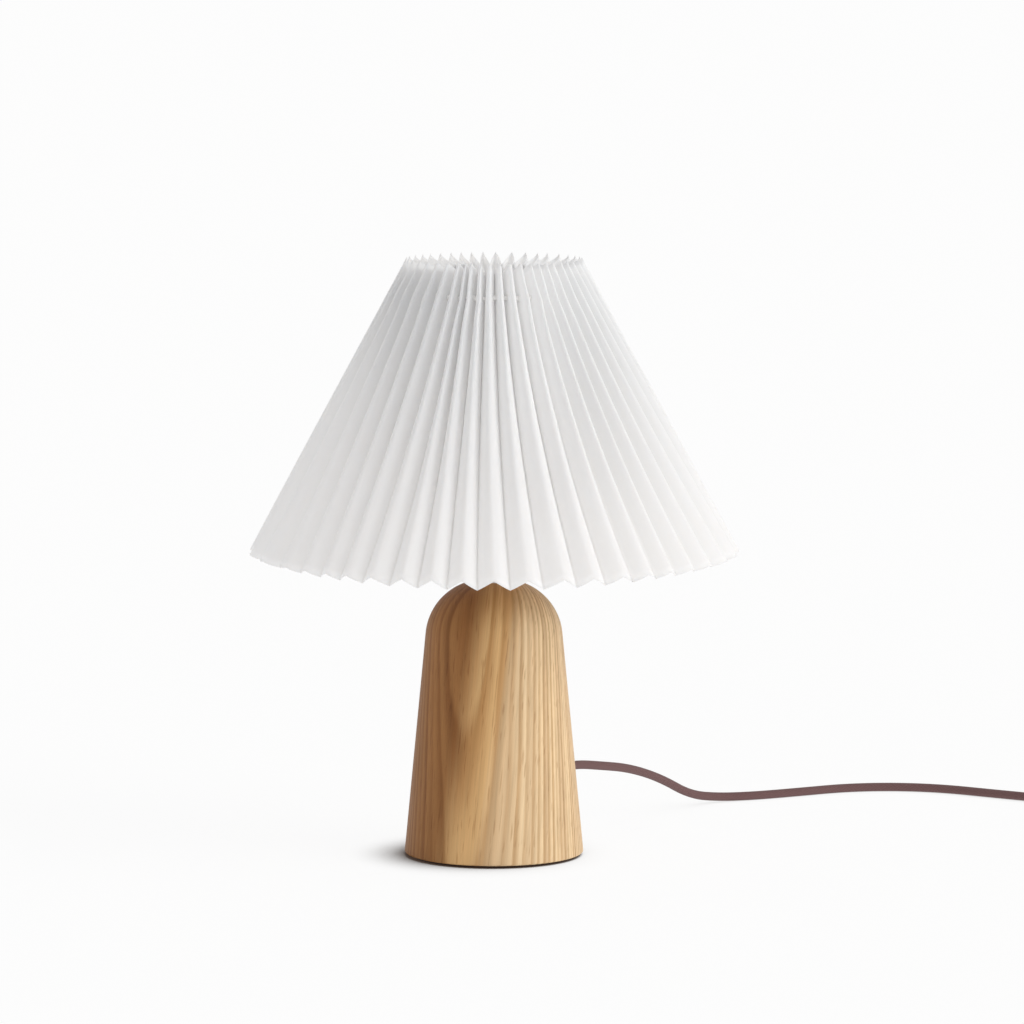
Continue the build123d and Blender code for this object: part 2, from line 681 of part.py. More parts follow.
with BuildPart() as bulb_globe:
    with BuildSketch(Plane.XZ) as globe_side:
        with Locations((0, BULB_CENTRE_Z)):
            Circle(BULB_R)
        with BuildLine():
            Polyline(
                (-BULB_NECK_R, GLASS_Z),
                (BULB_NECK_R, GLASS_Z),
                (BULB_NECK_R + BULB_NECK_FLARE, BULB_CENTRE_Z),
                (-BULB_NECK_R - BULB_NECK_FLARE, BULB_CENTRE_Z),
                close=True,
            )
        make_face()
        above_neck = GLASS_Z + BULB_NECK_R
        throat = globe_side.vertices().filter_by_position(Axis.Z, above_neck, BULB_CENTRE_Z)
        fillet(throat, BULB_NECK_BLEND)
        with Locations((-BULB_R, BULB_CENTRE_Z)):
            Rectangle(2 * BULB_R, 4 * BULB_R, mode=Mode.SUBTRACT)
    revolve(axis=Axis.Z)
    neck_face = bulb_globe.faces().filter_by(GeomType.PLANE).sort_by(Axis.Z)[0]
    offset(amount=-GLASS_T, openings=neck_face)

with BuildPart() as bulb_cap:
    with BuildSketch(Plane.XZ):
        with BuildLine():
            Polyline(
                (0, BULB_CAP_Z),
                (BULB_CAP_R - BULB_CAP_INSET, BULB_CAP_Z),
                (BULB_CAP_R, BULB_CAP_Z + BULB_CAP_TURN),
                (BULB_CAP_R, GLASS_Z),
                (0, GLASS_Z),
                close=True,
            )
        make_face()
    revolve(axis=Axis.Z)

with BuildPart() as bulb_insulator:
    with BuildSketch(Plane.XY.offset(BULB_CAP_Z)):
        Circle(BULB_CAP_R - BULB_CAP_INSET)
    with BuildSketch(Plane.XY.offset(BULB_CAP_Z - BULB_INSULATOR_T)):
        Circle(BULB_CONTACT_R + BULB_CONTACT_MARGIN)
    loft()

with BuildPart() as bulb_contact:
    with BuildSketch(Plane.XY.offset(BULB_Z)):
        Circle(BULB_CONTACT_R)
    extrude(amount=BULB_CONTACT_T)
    fillet(bulb_contact.edges().group_by(Axis.Z)[0], BULB_CONTACT_EDGE)

# ---------------------------------------------------------------- pleated shade


def pleat_corners(outer, inner):
    """The corners of one zigzag turn, outer and inner fold in turn."""
    corners = []
    for fold in range(2 * PLEATS):
        radius = inner if fold % 2 else outer
        angle = pi * fold / PLEATS
        corners.append((radius * cos(angle), radius * sin(angle)))
    return corners


with BuildPart() as shade_paper:
    for skin, mode in ((0, Mode.ADD), (1, Mode.SUBTRACT)):
        for height in (PLEAT_LOW, PLEAT_HIGH):
            inset = skin * paper_step(height)
            with BuildSketch(Plane.XY.offset(height)):
                corners = pleat_corners(outer_fold(height) - inset, inner_fold(height) - inset)
                Polygon(*corners, align=None)
        loft(ruled=True, mode=mode)
    with BuildSketch(Plane.XZ):
        with BuildLine():
            Polyline(
                (0, SHADE_BOTTOM_Z - LOWER_RIM_RATE * SHADE_BOTTOM_R),
                (SHADE_BOTTOM_R * 1.2, SHADE_BOTTOM_Z + LOWER_RIM_RATE * SHADE_BOTTOM_R * 0.2),
                (SHADE_BOTTOM_R * 1.2, SHADE_BOTTOM_Z - LOWER_RIM_RATE * SHADE_BOTTOM_R),
                close=True,
            )
        make_face()
    revolve(axis=Axis.Z, mode=Mode.SUBTRACT)
    with BuildSketch(Plane.XZ):
        with BuildLine():
            Polyline(
                (0, SHADE_TOP_Z - FOLD_RATE * SHADE_TOP_R),
                (SHADE_TOP_R * 1.5, SHADE_TOP_Z + FOLD_RATE * SHADE_TOP_R * 0.5),
                (0, SHADE_TOP_Z + FOLD_RATE * SHADE_TOP_R * 0.5),
                close=True,
            )
        make_face()
    revolve(axis=Axis.Z, mode=Mode.SUBTRACT)

thread_turn_r = (outer_fold(THREAD_Z) + inside_fold(THREAD_Z)) / 2
with BuildPart() as shade_thread:
    with BuildSketch(Plane.XZ):
        with Locations((thread_turn_r, THREAD_Z)):
            Circle(THREAD_R)
    revolve(axis=Axis.Z)

# ---------------------------------------------------------------- free cord to the switch

switch_back = SWITCH_Y + SWITCH_LENGTH / 2
switch_front = SWITCH_Y - SWITCH_LENGTH / 2
block_back = switch_back - SWITCH_WALL - BLOCK_GAP
block_front = switch_front + SWITCH_WALL + BLOCK_GAP
bush_tip = CORD_OUT * BUSH_TIP + Vector(0, 0, CORD_Z)
after_tip = CORD_OUT * (BUSH_TIP + CORD_STRAIGHT) + Vector(0, 0, CORD_Z)

run_points = [
    tuple(bush_tip),
    tuple(after_tip),
    (66.5, 95.0, 39.6),
    (86.0, 122.8, 33.6),
    (106.5, 151.5, 22.6),
    (126.5, 177.5, 7.4),
    (145.5, 195.0, 3.0),
    (170.0, 202.5, CORD_FLOOR_Z),
    (200.0, 218.0, CORD_FLOOR_Z),
    (230.0, 234.5, CORD_FLOOR_Z),
    (262.0, 239.0, CORD_FLOOR_Z),
    (294.0, 231.5, CORD_FLOOR_Z),
    (325.0, 211.0, CORD_FLOOR_Z),
    (354.0, 193.0, CORD_FLOOR_Z),
    (379.0, 171.0, 3.2),
    (SWITCH_X, 145.0, SWITCH_AXIS_Z),
    (SWITCH_X, block_back, SWITCH_AXIS_Z),
]
run_radii = corner_radii(run_points)
print("cord_run radii", [round(r, 1) for r in run_radii])

with BuildPart() as cord_run:
    with BuildLine() as run_path:
        FilletPolyline(*run_points, radius=run_radii)
    with BuildSketch(Plane(origin=run_path.line @ 0, z_dir=run_path.line % 0)):
        Circle(CORD_R)
    sweep(path=run_path.line)
report_cord("cord_run", cord_run.part, cord_length(run_points, run_radii))

# ---------------------------------------------------------------- coil

# The cord comes in at the left of the coil, towards the front. Each half turn is one half circle
# whose radius is half a pitch less than the last, so that the lower layer spirals in at a steady
# rate. One half turn climbs, and the upper layer spirals out again to the right.


def half_turn_stops():
    """The places, along X from the coil's centre, where the half turns begin and end."""
    reach = COIL_OUTER_R
    stops = [-reach]
    side = 1
    for _ in range(COIL_HALF_TURNS):
        reach -= COIL_PITCH / 2
        stops.append(side * reach)
        side = -side
    for _ in range(COIL_HALF_TURNS + 1):
        stops.append(side * reach)
        side = -side
        reach += COIL_PITCH / 2
    return stops


def biarc(start, start_way, end, end_way):
    """The meeting point of two arcs that join two places, each tangent to its own direction."""
    gap = end - start
    ways = start_way + end_way
    twice = 2 * (1 - start_way.dot(end_way))
    along = gap.dot(ways)
    reach = (-along + (along**2 + twice * gap.dot(gap)) ** 0.5) / twice
    near = start + start_way * reach
    far = end - end_way * reach
    return (near + far) * 0.5


coil_stops = half_turn_stops()
coil_start = Vector(COIL_X + coil_stops[0], COIL_Y, COIL_Z)
coil_end = Vector(COIL_X + coil_stops[-1], COIL_Y, COIL_TOP_Z)
FRONTWARD = Vector(0, -1, 0)
BACKWARD = Vector(0, 1, 0)
RIGHTWARD = Vector(1, 0, 0)
TAIL = 2 * CORD_R  # straight end of the tube, one diameter long

with BuildPart() as cord_coil:
    with BuildLine() as coil_path:
        Line(coil_start - FRONTWARD * TAIL, coil_start)
        height = COIL_Z
        for number, (here, there) in enumerate(zip(coil_stops, coil_stops[1:])):
            begin = Vector(COIL_X + here, COIL_Y, height)
            way = FRONTWARD if here < there else BACKWARD
            if number == COIL_HALF_TURNS:
                # The climb: two quarter turns, each a biarc, which meet at its middle.
                dip = (abs(here) + abs(there)) / 2 - COIL_PITCH / 4
                slope = atan2(COIL_PITCH / 2, dip)
                middle = Vector(COIL_X, COIL_Y, height + COIL_PITCH / 2) - way * -dip
                across = RIGHTWARD * (cos(slope) if here < there else -cos(slope))
                climbing = across + Vector(0, 0, sin(slope))
                height = COIL_TOP_Z
                finish = Vector(COIL_X + there, COIL_Y, height)
                for a, a_way, b, b_way in (
                    (begin, way, middle, climbing),
                    (middle, climbing, finish, way * -1),
                ):
                    joint = biarc(a, a_way, b, b_way)
                    first_arc = TangentArc(a, joint, tangent=a_way)
                    TangentArc(joint, b, tangent=first_arc % 1)
            else:
                finish = Vector(COIL_X + there, COIL_Y, height)
                TangentArc(begin, finish, tangent=way)
        Line(coil_end, coil_end + BACKWARD * TAIL)
    coil_wire = coil_path.wires()[0]
    with BuildSketch(Plane(origin=coil_wire @ 0, z_dir=coil_wire % 0)):
        Circle(CORD_R)
    sweep(path=coil_wire)
report_cord("cord_coil", cord_coil.part, coil_wire.length)


def least_gap(line, radius):
    """Least distance between the surfaces of a tube's separate turns, measured on points."""
    count = int(line.length / radius)
    spots = [line @ (i / count) for i in range(count + 1)]
    apart = 8
    nearest = line.length
    for i, a in enumerate(spots):
        for b in spots[i + apart :]:
            nearest = min(nearest, (a - b).length)
    return nearest - 2 * radius


print(f"cord_coil: least gap to itself {least_gap(coil_wire, CORD_R):.2f}")

with BuildPart() as coil_tie:
    # a strap round the turns at the front of the coil
    outer_turn = COIL_OUTER_R - COIL_PITCH / 4 + CORD_R
    inner_turn = COIL_OUTER_R - COIL_PITCH * (COIL_HALF_TURNS - 0.5) / 2 - CORD_R
    strap_deep = outer_turn - inner_turn + 2 * TIE_SIDE_GAP
    strap_high = COIL_PITCH + 2 * CORD_R + 2 * TIE_GAP
    strap_at = (COIL_Y - (outer_turn + inner_turn) / 2, (COIL_Z + COIL_TOP_Z) / 2)
    with BuildSketch(Plane.YZ.offset(COIL_X - TIE_WIDTH / 2)):
        with Locations(strap_at):
            RectangleRounded(strap_deep + 2 * TIE_T, strap_high + 2 * TIE_T, TIE_CORNER + TIE_T)
            RectangleRounded(strap_deep, strap_high, TIE_CORNER, mode=Mode.SUBTRACT)
    extrude(amount=TIE_WIDTH)

lead_gap = block_front - COIL_Y - TAIL
lead_points = [
    (SWITCH_X, block_front, SWITCH_AXIS_Z),
    (SWITCH_X, block_front - LEAD_SHARES[0] * lead_gap, SWITCH_AXIS_Z),
    (SWITCH_X + LEAD_SWAY, block_front - LEAD_SHARES[1] * lead_gap, COIL_Z + LEAD_RISE),
    (SWITCH_X, block_front - LEAD_SHARES[2] * lead_gap, COIL_Z),
    tuple(coil_start - FRONTWARD * TAIL),
]
lead_radii = corner_radii(lead_points)
print("cord_lead radii", [round(r, 1) for r in lead_radii])
with BuildPart() as cord_lead:
    with BuildLine() as lead_path:
        FilletPolyline(*lead_points, radius=lead_radii)
    with BuildSketch(Plane(origin=lead_path.line @ 0, z_dir=lead_path.line % 0)):
        Circle(CORD_R)
    sweep(path=lead_path.line)
report_cord("cord_lead", cord_lead.part, cord_length(lead_points, lead_radii))

end_from = COIL_Y + TAIL
end_gap = PLUG_Y - end_from
end_points = [
    tuple(coil_end + BACKWARD * TAIL),
    (PLUG_X, end_from + END_SHARES[0] * end_gap, COIL_TOP_Z),
    (PLUG_X + END_SWAY, end_from + END_SHARES[1] * end_gap, PLUG_Z + END_RISE),
    (PLUG_X, end_from + END_SHARES[2] * end_gap, PLUG_Z),
    (PLUG_X, PLUG_Y, PLUG_Z),
]
end_radii = corner_radii(end_points)
print("cord_end radii", [round(r, 1) for r in end_radii])
with BuildPart() as cord_end:
    with BuildLine() as end_path:
        FilletPolyline(*end_points, radius=end_radii)
    with BuildSketch(Plane(origin=end_path.line @ 0, z_dir=end_path.line % 0)):
        Circle(CORD_R)
    sweep(path=end_path.line)
report_cord("cord_end", cord_end.part, cord_length(end_points, end_radii))

# ---------------------------------------------------------------- in-line switch

switch_place = Plane(origin=(SWITCH_X, SWITCH_Y, 0))
inside_w = SWITCH_WIDTH - 2 * SWITCH_WALL
inside_l = SWITCH_LENGTH - 2 * SWITCH_WALL
block_inner = SWITCH_LENGTH / 2 - SWITCH_WALL - BLOCK_GAP - BLOCK_LENGTH
screw_y = block_inner - BLOCK_GAP - SWITCH_PILLAR_R

with BuildPart() as switch_base:
    with BuildSketch(switch_place):
        RectangleRounded(SWITCH_WIDTH, SWITCH_LENGTH, SWITCH_CORNER)
    extrude(amount=SWITCH_AXIS_Z)
    fillet(switch_base.edges().group_by(Axis.Z)[0], SWITCH_EDGE)
    with BuildSketch(switch_place.offset(SWITCH_WALL)):
        RectangleRounded(inside_w, inside_l, SWITCH_CORNER - SWITCH_WALL)
    extrude(amount=SWITCH_AXIS_Z, mode=Mode.SUBTRACT)
    # screw pillars
    with BuildSketch(switch_place):
        with Locations((0, screw_y), (0, -screw_y)):
            Circle(SWITCH_PILLAR_R)
    extrude(amount=SWITCH_AXIS_Z)
    with BuildSketch(switch_place):
        with Locations((0, screw_y), (0, -screw_y)):
            Circle(SWITCH_SCREW_R + THREAD_GAP)
    extrude(amount=SWITCH_AXIS_Z, mode=Mode.SUBTRACT)
    # half holes for the cord at both ends
    with BuildSketch(Plane.XZ.offset(-switch_back)):
        with Locations((SWITCH_X, SWITCH_AXIS_Z)):
            Circle(CORD_R)
    extrude(amount=SWITCH_LENGTH, mode=Mode.SUBTRACT)

with BuildPart() as switch_cover:
    with BuildSketch(switch_place.offset(SWITCH_AXIS_Z)):
        RectangleRounded(SWITCH_WIDTH, SWITCH_LENGTH, SWITCH_CORNER)
    extrude(amount=SWITCH_AXIS_Z)
    fillet(switch_cover.edges().group_by(Axis.Z)[-1], SWITCH_EDGE)
    with BuildSketch(switch_place.offset(SWITCH_AXIS_Z)):
        RectangleRounded(inside_w, inside_l, SWITCH_CORNER - SWITCH_WALL)
    extrude(amount=SWITCH_AXIS_Z - SWITCH_WALL, mode=Mode.SUBTRACT)
    # window for the rocker
    with BuildSketch(switch_place.offset(SWITCH_AXIS_Z)):
        Rectangle(ROCKER_WIDTH + 2 * REST_GAP, ROCKER_LENGTH + 2 * REST_GAP)
    extrude(amount=SWITCH_AXIS_Z, mode=Mode.SUBTRACT)
    with BuildSketch(Plane.XZ.offset(-switch_back)):
        with Locations((SWITCH_X, SWITCH_AXIS_Z)):
            Circle(CORD_R)
    extrude(amount=SWITCH_LENGTH, mode=Mode.SUBTRACT)

with BuildPart() as switch_screws:
    with BuildSketch(switch_place.offset(SWITCH_WALL / 2)):
        with Locations((0, screw_y), (0, -screw_y)):
            Circle(SWITCH_SCREW_R)
    extrude(amount=SWITCH_AXIS_Z - SWITCH_WALL)

block_mid = block_inner + BLOCK_LENGTH / 2
with BuildPart() as terminal_blocks:
    # one block at each end, between the shells, where the cord's sheath stops
    with BuildSketch(switch_place.offset(SWITCH_WALL + FIT_GAP)):
        with Locations((0, block_mid), (0, -block_mid)):
            Rectangle(BLOCK_WIDTH, BLOCK_LENGTH)
    extrude(amount=SWITCH_HEIGHT - 2 * SWITCH_WALL - 2 * FIT_GAP)

pivot_z = SWITCH_HEIGHT - SWITCH_WALL - ROCKER_PIN_R - PIN_COVER_GAP
pivot_plane = Plane(origin=(SWITCH_X, SWITCH_Y, pivot_z), x_dir=(0, 1, 0), z_dir=(1, 0, 0))
# The rocker rests with its back end pressed down. Its ends are arcs about the pivot.
pressed = radians(ROCKER_TILT)
rocker_plane = Plane(
    origin=(SWITCH_X, SWITCH_Y, pivot_z),
    x_dir=(0, cos(pressed), -sin(pressed)),
    z_dir=(1, 0, 0),
)
with BuildPart() as switch_rocker:
    with BuildSketch(rocker_plane):
        with BuildLine():
            crest = SWITCH_HEIGHT - pivot_z + ROCKER_CREST
            hollow = SWITCH_HEIGHT - pivot_z + ROCKER_HOLLOW
            half = ROCKER_LENGTH / 2
            ThreePointArc((-half, crest), (0, hollow), (half, crest))
            Polyline(
                (half, crest),
                (half, -ROCKER_SKIRT),
                (ROCKER_BELLY, -ROCKER_DEPTH),
                (-ROCKER_BELLY, -ROCKER_DEPTH),
                (-half, -ROCKER_SKIRT),
                (-half, crest),
            )
        make_face()
        Circle(ROCKER_LENGTH / 2, mode=Mode.INTERSECT)
    extrude(amount=ROCKER_WIDTH / 2, both=True)
    with BuildSketch(rocker_plane):
        Circle(ROCKER_PIN_R + THREAD_GAP)
    extrude(amount=ROCKER_WIDTH, both=True, mode=Mode.SUBTRACT)

with BuildPart() as rocker_pin:
    with BuildSketch(pivot_plane):
        Circle(ROCKER_PIN_R)
    extrude(amount=ROCKER_WIDTH / 2 + PIN_OVERHANG, both=True)

with BuildPart() as rocker_cradle:
    # two lugs that carry the pin, standing on the floor of the lower shell
    for side in (-1, 1):
        lug_x = SWITCH_X + side * (ROCKER_WIDTH / 2 + LUG_OUT)
        lug_foot = SWITCH_WALL + FIT_GAP
        lug_top = pivot_z + LUG_ABOVE_PIN
        with BuildSketch(Plane(origin=(lug_x, SWITCH_Y, 0), x_dir=(0, 1, 0), z_dir=(1, 0, 0))):
            with Locations((0, (lug_foot + lug_top) / 2)):
                Rectangle(LUG_LENGTH, lug_top - lug_foot)
            with Locations((0, pivot_z)):
                Circle(ROCKER_PIN_R + THREAD_GAP, mode=Mode.SUBTRACT)
        extrude(amount=LUG_T / 2, both=True)

with BuildPart() as switch_contacts:
    # two brass strips on the floor of the lower shell, one to each terminal block
    with BuildSketch(switch_place.offset(SWITCH_WALL + FIT_GAP)):
        for side in (-1, 1):
            with Locations((side * STRIP_OUT, side * (block_inner + STRIP_INNER) / 2)):
                Rectangle(STRIP_WIDTH, block_inner - STRIP_INNER)
    extrude(amount=STRIP_T)

# ---------------------------------------------------------------- plug

plug_face = PLUG_Y + PLUG_SLEEVE + PLUG_BODY


def across_cord(y):
    """The upright plane square to the plug's cord, facing the pins."""
    return Plane(origin=(PLUG_X, y, PLUG_Z), x_dir=(-1, 0, 0), z_dir=(0, 1, 0))


with BuildPart() as plug_body:
    with BuildSketch(across_cord(plug_face - PLUG_FRONT)):
        RectangleRounded(PLUG_WIDTH, PLUG_T, PLUG_CORNER)
    extrude(amount=PLUG_FRONT)
    fillet(plug_body.edges().group_by(Axis.Y)[-1], PLUG_FACE_EDGE)
    with BuildSketch(across_cord(plug_face - PLUG_FRONT)):
        RectangleRounded(PLUG_WIDTH, PLUG_T, PLUG_CORNER)
    with BuildSketch(across_cord(plug_face - PLUG_BODY)):
        RectangleRounded(PLUG_NECK_WIDTH, PLUG_NECK_T, PLUG_NECK_CORNER)
    loft()
    with BuildSketch(across_cord(plug_face - PLUG_BODY)):
        Circle(PLUG_NECK_T / 2 - PLUG_SLEEVE_INSET)
    with BuildSketch(across_cord(PLUG_Y)):
        Circle(CORD_R + PLUG_TIP_WALL)
    loft()

with BuildPart() as plug_pins:
    with BuildSketch(across_cord(plug_face)):
        with GridLocations(PIN_PITCH, 1, 2, 1):
            Circle(PIN_CORE_R)
    extrude(amount=PIN_SLEEVE)
    with BuildSketch(across_cord(plug_face + PIN_SLEEVE)):
        with GridLocations(PIN_PITCH, 1, 2, 1):
            Circle(PIN_R)
    extrude(amount=PIN_LENGTH - PIN_SLEEVE)
    fillet(plug_pins.edges().group_by(Axis.Y)[-1], PIN_TIP)

with BuildPart() as pin_sleeves:
    with BuildSketch(across_cord(plug_face)):
        with GridLocations(PIN_PITCH, 1, 2, 1):
            Circle(PIN_R - PIN_SLEEVE_INSET)
            Circle(PIN_CORE_R + THREAD_GAP, mode=Mode.SUBTRACT)
    extrude(amount=PIN_SLEEVE)

# ---------------------------------------------------------------- labels and files

pieces = {
    "wood_base": wood_base,
    "felt_pad": felt_pad,
    "base_plate": base_plate,
    "plate_screws": plate_screws,
    "cord_bush": cord_bush,
    "inner_cord": inner_cord,
    "cord_stop": cord_stop,
    "stop_screws": stop_screws,
    "lamp_tube": lamp_tube,
    "tube_washer": tube_washer,
    "tube_nut": tube_nut,
    "seat_washer": seat_washer,
    "holder_cap": holder_cap,
    "holder_shell": holder_shell,
    "holder_insert": holder_insert,
    "terminal_screws": terminal_screws,
    "centre_contact": centre_contact,
    "side_contact": side_contact,
    "core_wires": core_wires,
    "shade_ring": shade_ring,
    "carrier_gallery": carrier_gallery,
    "carrier_ring": carrier_ring,
    "carrier_arms": carrier_arms,
    "bulb_globe": bulb_globe,
    "bulb_cap": bulb_cap,
    "bulb_insulator": bulb_insulator,
    "bulb_contact": bulb_contact,
    "shade_paper": shade_paper,
    "shade_thread": shade_thread,
    "cord_run": cord_run,
    "cord_lead": cord_lead,
    "cord_coil": cord_coil,
    "cord_end": cord_end,
    "coil_tie": coil_tie,
    "switch_base": switch_base,
    "switch_cover": switch_cover,
    "switch_screws": switch_screws,
    "terminal_blocks": terminal_blocks,
    "switch_rocker": switch_rocker,
    "rocker_pin": rocker_pin,
    "rocker_cradle": rocker_cradle,
    "switch_contacts": switch_contacts,
    "plug_body": plug_body,
    "plug_pins": plug_pins,
    "pin_sleeves": pin_sleeves,
}
for label, piece in pieces.items():
    piece.part.label = label
    export_step(piece.part, f"parts/{label}.step")
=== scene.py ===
import math
import random

import bmesh
import bpy
from mathutils import Matrix, Vector


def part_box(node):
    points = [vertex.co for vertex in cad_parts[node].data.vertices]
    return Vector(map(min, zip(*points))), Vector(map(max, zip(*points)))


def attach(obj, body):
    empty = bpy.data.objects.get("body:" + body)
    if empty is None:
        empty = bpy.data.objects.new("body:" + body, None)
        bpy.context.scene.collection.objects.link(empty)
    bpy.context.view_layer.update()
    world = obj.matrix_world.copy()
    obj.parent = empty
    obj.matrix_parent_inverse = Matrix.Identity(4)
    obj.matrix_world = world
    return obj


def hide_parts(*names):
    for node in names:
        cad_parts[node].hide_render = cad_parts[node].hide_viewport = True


bl_info = {
    "name": "Pleated Table Lamp",
    "version": (1, 0, 0),
    "blender": (4, 5, 0),
    "location": "View3D > Sidebar > Lamp",
    "description": "Dresses a turned wooden table lamp with a pleated paper shade",
    "category": "Add Mesh",
}

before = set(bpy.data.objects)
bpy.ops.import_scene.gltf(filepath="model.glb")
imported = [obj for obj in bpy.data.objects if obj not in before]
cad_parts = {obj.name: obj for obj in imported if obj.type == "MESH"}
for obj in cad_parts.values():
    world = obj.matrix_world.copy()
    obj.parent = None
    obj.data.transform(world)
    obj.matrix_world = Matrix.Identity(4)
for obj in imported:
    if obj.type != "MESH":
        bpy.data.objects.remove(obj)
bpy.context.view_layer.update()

MM = 0.001

# The shade's rims: radius and height of the outer folds, depth of the pleats, and how far the
# inner folds end below the outer ones at the sides, and at the front and back.
paper_low, paper_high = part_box("shade_paper")
RIM_LOW = {
    "radius": (paper_high.x - paper_low.x) / 2,
    "height": 187.6 * MM,
    "depth": 5 * MM,
    "side_drop": 1 * MM,
    "front_drop": 6 * MM,
}
RIM_HIGH = {
    "radius": 53.6 * MM,
    "height": paper_high.z,
    "depth": 13 * MM,
    "side_drop": 7 * MM,
    "front_drop": 7 * MM,
}


# ---------------- settings


class LampFootSettings(bpy.types.PropertyGroup):
    """Wood of the turned foot"""

    pale: bpy.props.FloatVectorProperty(
        name="Pale wood",
        description="Colour of the sapwood on the right of the foot",
        subtype="COLOR", size=3, min=0.0, max=1.0,
        default=(0.86, 0.635, 0.38),
    )
    tan: bpy.props.FloatVectorProperty(
        name="Tan wood",
        description="Colour of the wood in the middle of the foot",
        subtype="COLOR", size=3, min=0.0, max=1.0,
        default=(0.70, 0.43, 0.19),
    )
    # The heartwood colour is also painted shade: the left side of the foot, away from the key light,
    # is made darker.
    deep: bpy.props.FloatVectorProperty(
        name="Deep wood",
        description="Colour of the heartwood on the left of the foot",
        subtype="COLOR", size=3, min=0.0, max=1.0,
        default=(0.32, 0.145, 0.046),
    )
    line: bpy.props.FloatVectorProperty(
        name="Growth lines",
        description="Tint that the narrow dark lines lay over the wood",
        subtype="COLOR", size=3, min=0.0, max=1.0,
        default=(0.62, 0.50, 0.38),
    )
    ring_gap: bpy.props.FloatProperty(
        name="Ring gap",
        description="Distance between two growth lines",
        subtype="DISTANCE", unit="LENGTH", min=0.0005,
        default=2.8 * MM,
    )
    lean: bpy.props.FloatProperty(
        name="Lean",
        description="How far the trunk leans to the right",
        subtype="ANGLE", unit="ROTATION",
        default=math.radians(5.6),
    )


class LampShadeSettings(bpy.types.PropertyGroup):
    """Paper of the shade and its folds"""

    thickness: bpy.props.FloatProperty(
        name="Paper thickness",
        description="Thickness of the folded paper",
        subtype="DISTANCE", unit="LENGTH", min=0.0001,
        default=0.45 * MM,
    )
    pinch: bpy.props.FloatProperty(
        name="Pinch",
        description="How far the thread pulls the outer folds aside",
        subtype="ANGLE", unit="ROTATION",
        default=math.radians(1.1),
    )
    unrest: bpy.props.FloatProperty(
        name="Unevenness",
        description="How far the inner folds stray from the middle of their pleats",
        subtype="ANGLE", unit="ROTATION",
        default=math.radians(0.35),
    )
    thread_r: bpy.props.FloatProperty(
        name="Thread radius",
        description="Radius of the thread that runs through the pleats",
        subtype="DISTANCE", unit="LENGTH", min=0.0001,
        default=0.5 * MM,
    )
    # Strength of the painted glow: an emission on the upper pleats that stands in for light shining
    # through the paper.
    glow: bpy.props.FloatProperty(
        name="Light through the paper",
        description="Strength of the light that shines through the upper pleats",
        min=0.0,
        default=0.085,
    )
    yarn_r: bpy.props.FloatProperty(
        name="Yarn radius",
        description="Radius of the fuzzy yarn where it shows between two folds",
        subtype="DISTANCE", unit="LENGTH", min=0.0001,
        default=1.15 * MM,
    )
    colour: bpy.props.FloatVectorProperty(
        name="Paper",
        description="Colour of the paper",
        subtype="COLOR", size=3, min=0.0, max=1.0,
        default=(0.955, 0.948, 0.940),
    )


class LampCordSettings(bpy.types.PropertyGroup):
    """Textile cord"""

    diameter: bpy.props.FloatProperty(
        name="Diameter",
        description="Diameter over the braid",
        subtype="DISTANCE", unit="LENGTH", min=0.001,
        default=5.5 * MM,
    )
    length: bpy.props.FloatProperty(
        name="Length",
        description="Length of the free cord, from the foot to the plug",
        subtype="DISTANCE", unit="LENGTH", min=0.1,
        default=1.79,
    )
    yarn: bpy.props.FloatVectorProperty(
        name="Yarn",
        description="Main colour of the braid",
        subtype="COLOR", size=3, min=0.0, max=1.0,
        default=(0.105, 0.050, 0.049),
    )
    yarn_pale: bpy.props.FloatVectorProperty(
        name="Paler yarn",
        description="Colour of the raised yarns",
        subtype="COLOR", size=3, min=0.0, max=1.0,
        default=(0.20, 0.115, 0.112),
    )


class LampFittingSettings(bpy.types.PropertyGroup):
    """Holder, wire carrier, switch and plug"""

    white: bpy.props.FloatVectorProperty(
        name="White parts",
        description="Colour of the holder and of the painted wire",
        subtype="COLOR", size=3, min=0.0, max=1.0,
        default=(0.80, 0.79, 0.77),
    )
    dark: bpy.props.FloatVectorProperty(
        name="Dark parts",
        description="Colour of the switch, the plug and the cord guard",
        subtype="COLOR", size=3, min=0.0, max=1.0,
        default=(0.055, 0.04, 0.038),
    )


class LampStageSettings(bpy.types.PropertyGroup):
    """Light and floor"""

    key: bpy.props.FloatProperty(
        name="Key light",
        description="Strength of the large light at the front right",
        min=0.0,
        default=1.15,
    )
    fill: bpy.props.FloatProperty(
        name="Fill light",
        description="Strength of the even light all round",
        min=0.0,
        default=0.62,
    )
    floor_glow: bpy.props.FloatProperty(
        name="Floor brightness",
        description="Brightness of the pale floor",
        min=0.0,
        default=0.90,
    )
    floor_shade: bpy.props.FloatProperty(
        name="Contact shadow reach",
        description="How far from the lamp its soft contact shadow reaches",
        subtype="DISTANCE", unit="LENGTH", min=0.001,
        default=36 * MM,
    )


# ---------------- mesh helpers


def settle(parts, key):
    """Put vertices, edges or faces in an order that is the same in every run."""
    ranks = {part: rank for rank, part in enumerate(sorted(parts, key=key))}
    parts.sort(key=ranks.get)
    parts.index_update()


def mesh_of(name, bm):
    """A mesh made from a bmesh, which is freed."""
    # extruding and spinning leave an order that changes from run to run
    settle(bm.verts, key=lambda vert: tuple(vert.co))
    for parts in (bm.edges, bm.faces):
        settle(parts, key=lambda part: sorted(vert.index for vert in part.verts))
    mesh = bpy.data.meshes.new(name)
    bm.to_mesh(mesh)
    bm.free()
    return mesh


def add_object(name, data):
    """A new object in the scene."""
    made = bpy.data.objects.new(name, data)
    bpy.context.scene.collection.objects.link(made)
    return made


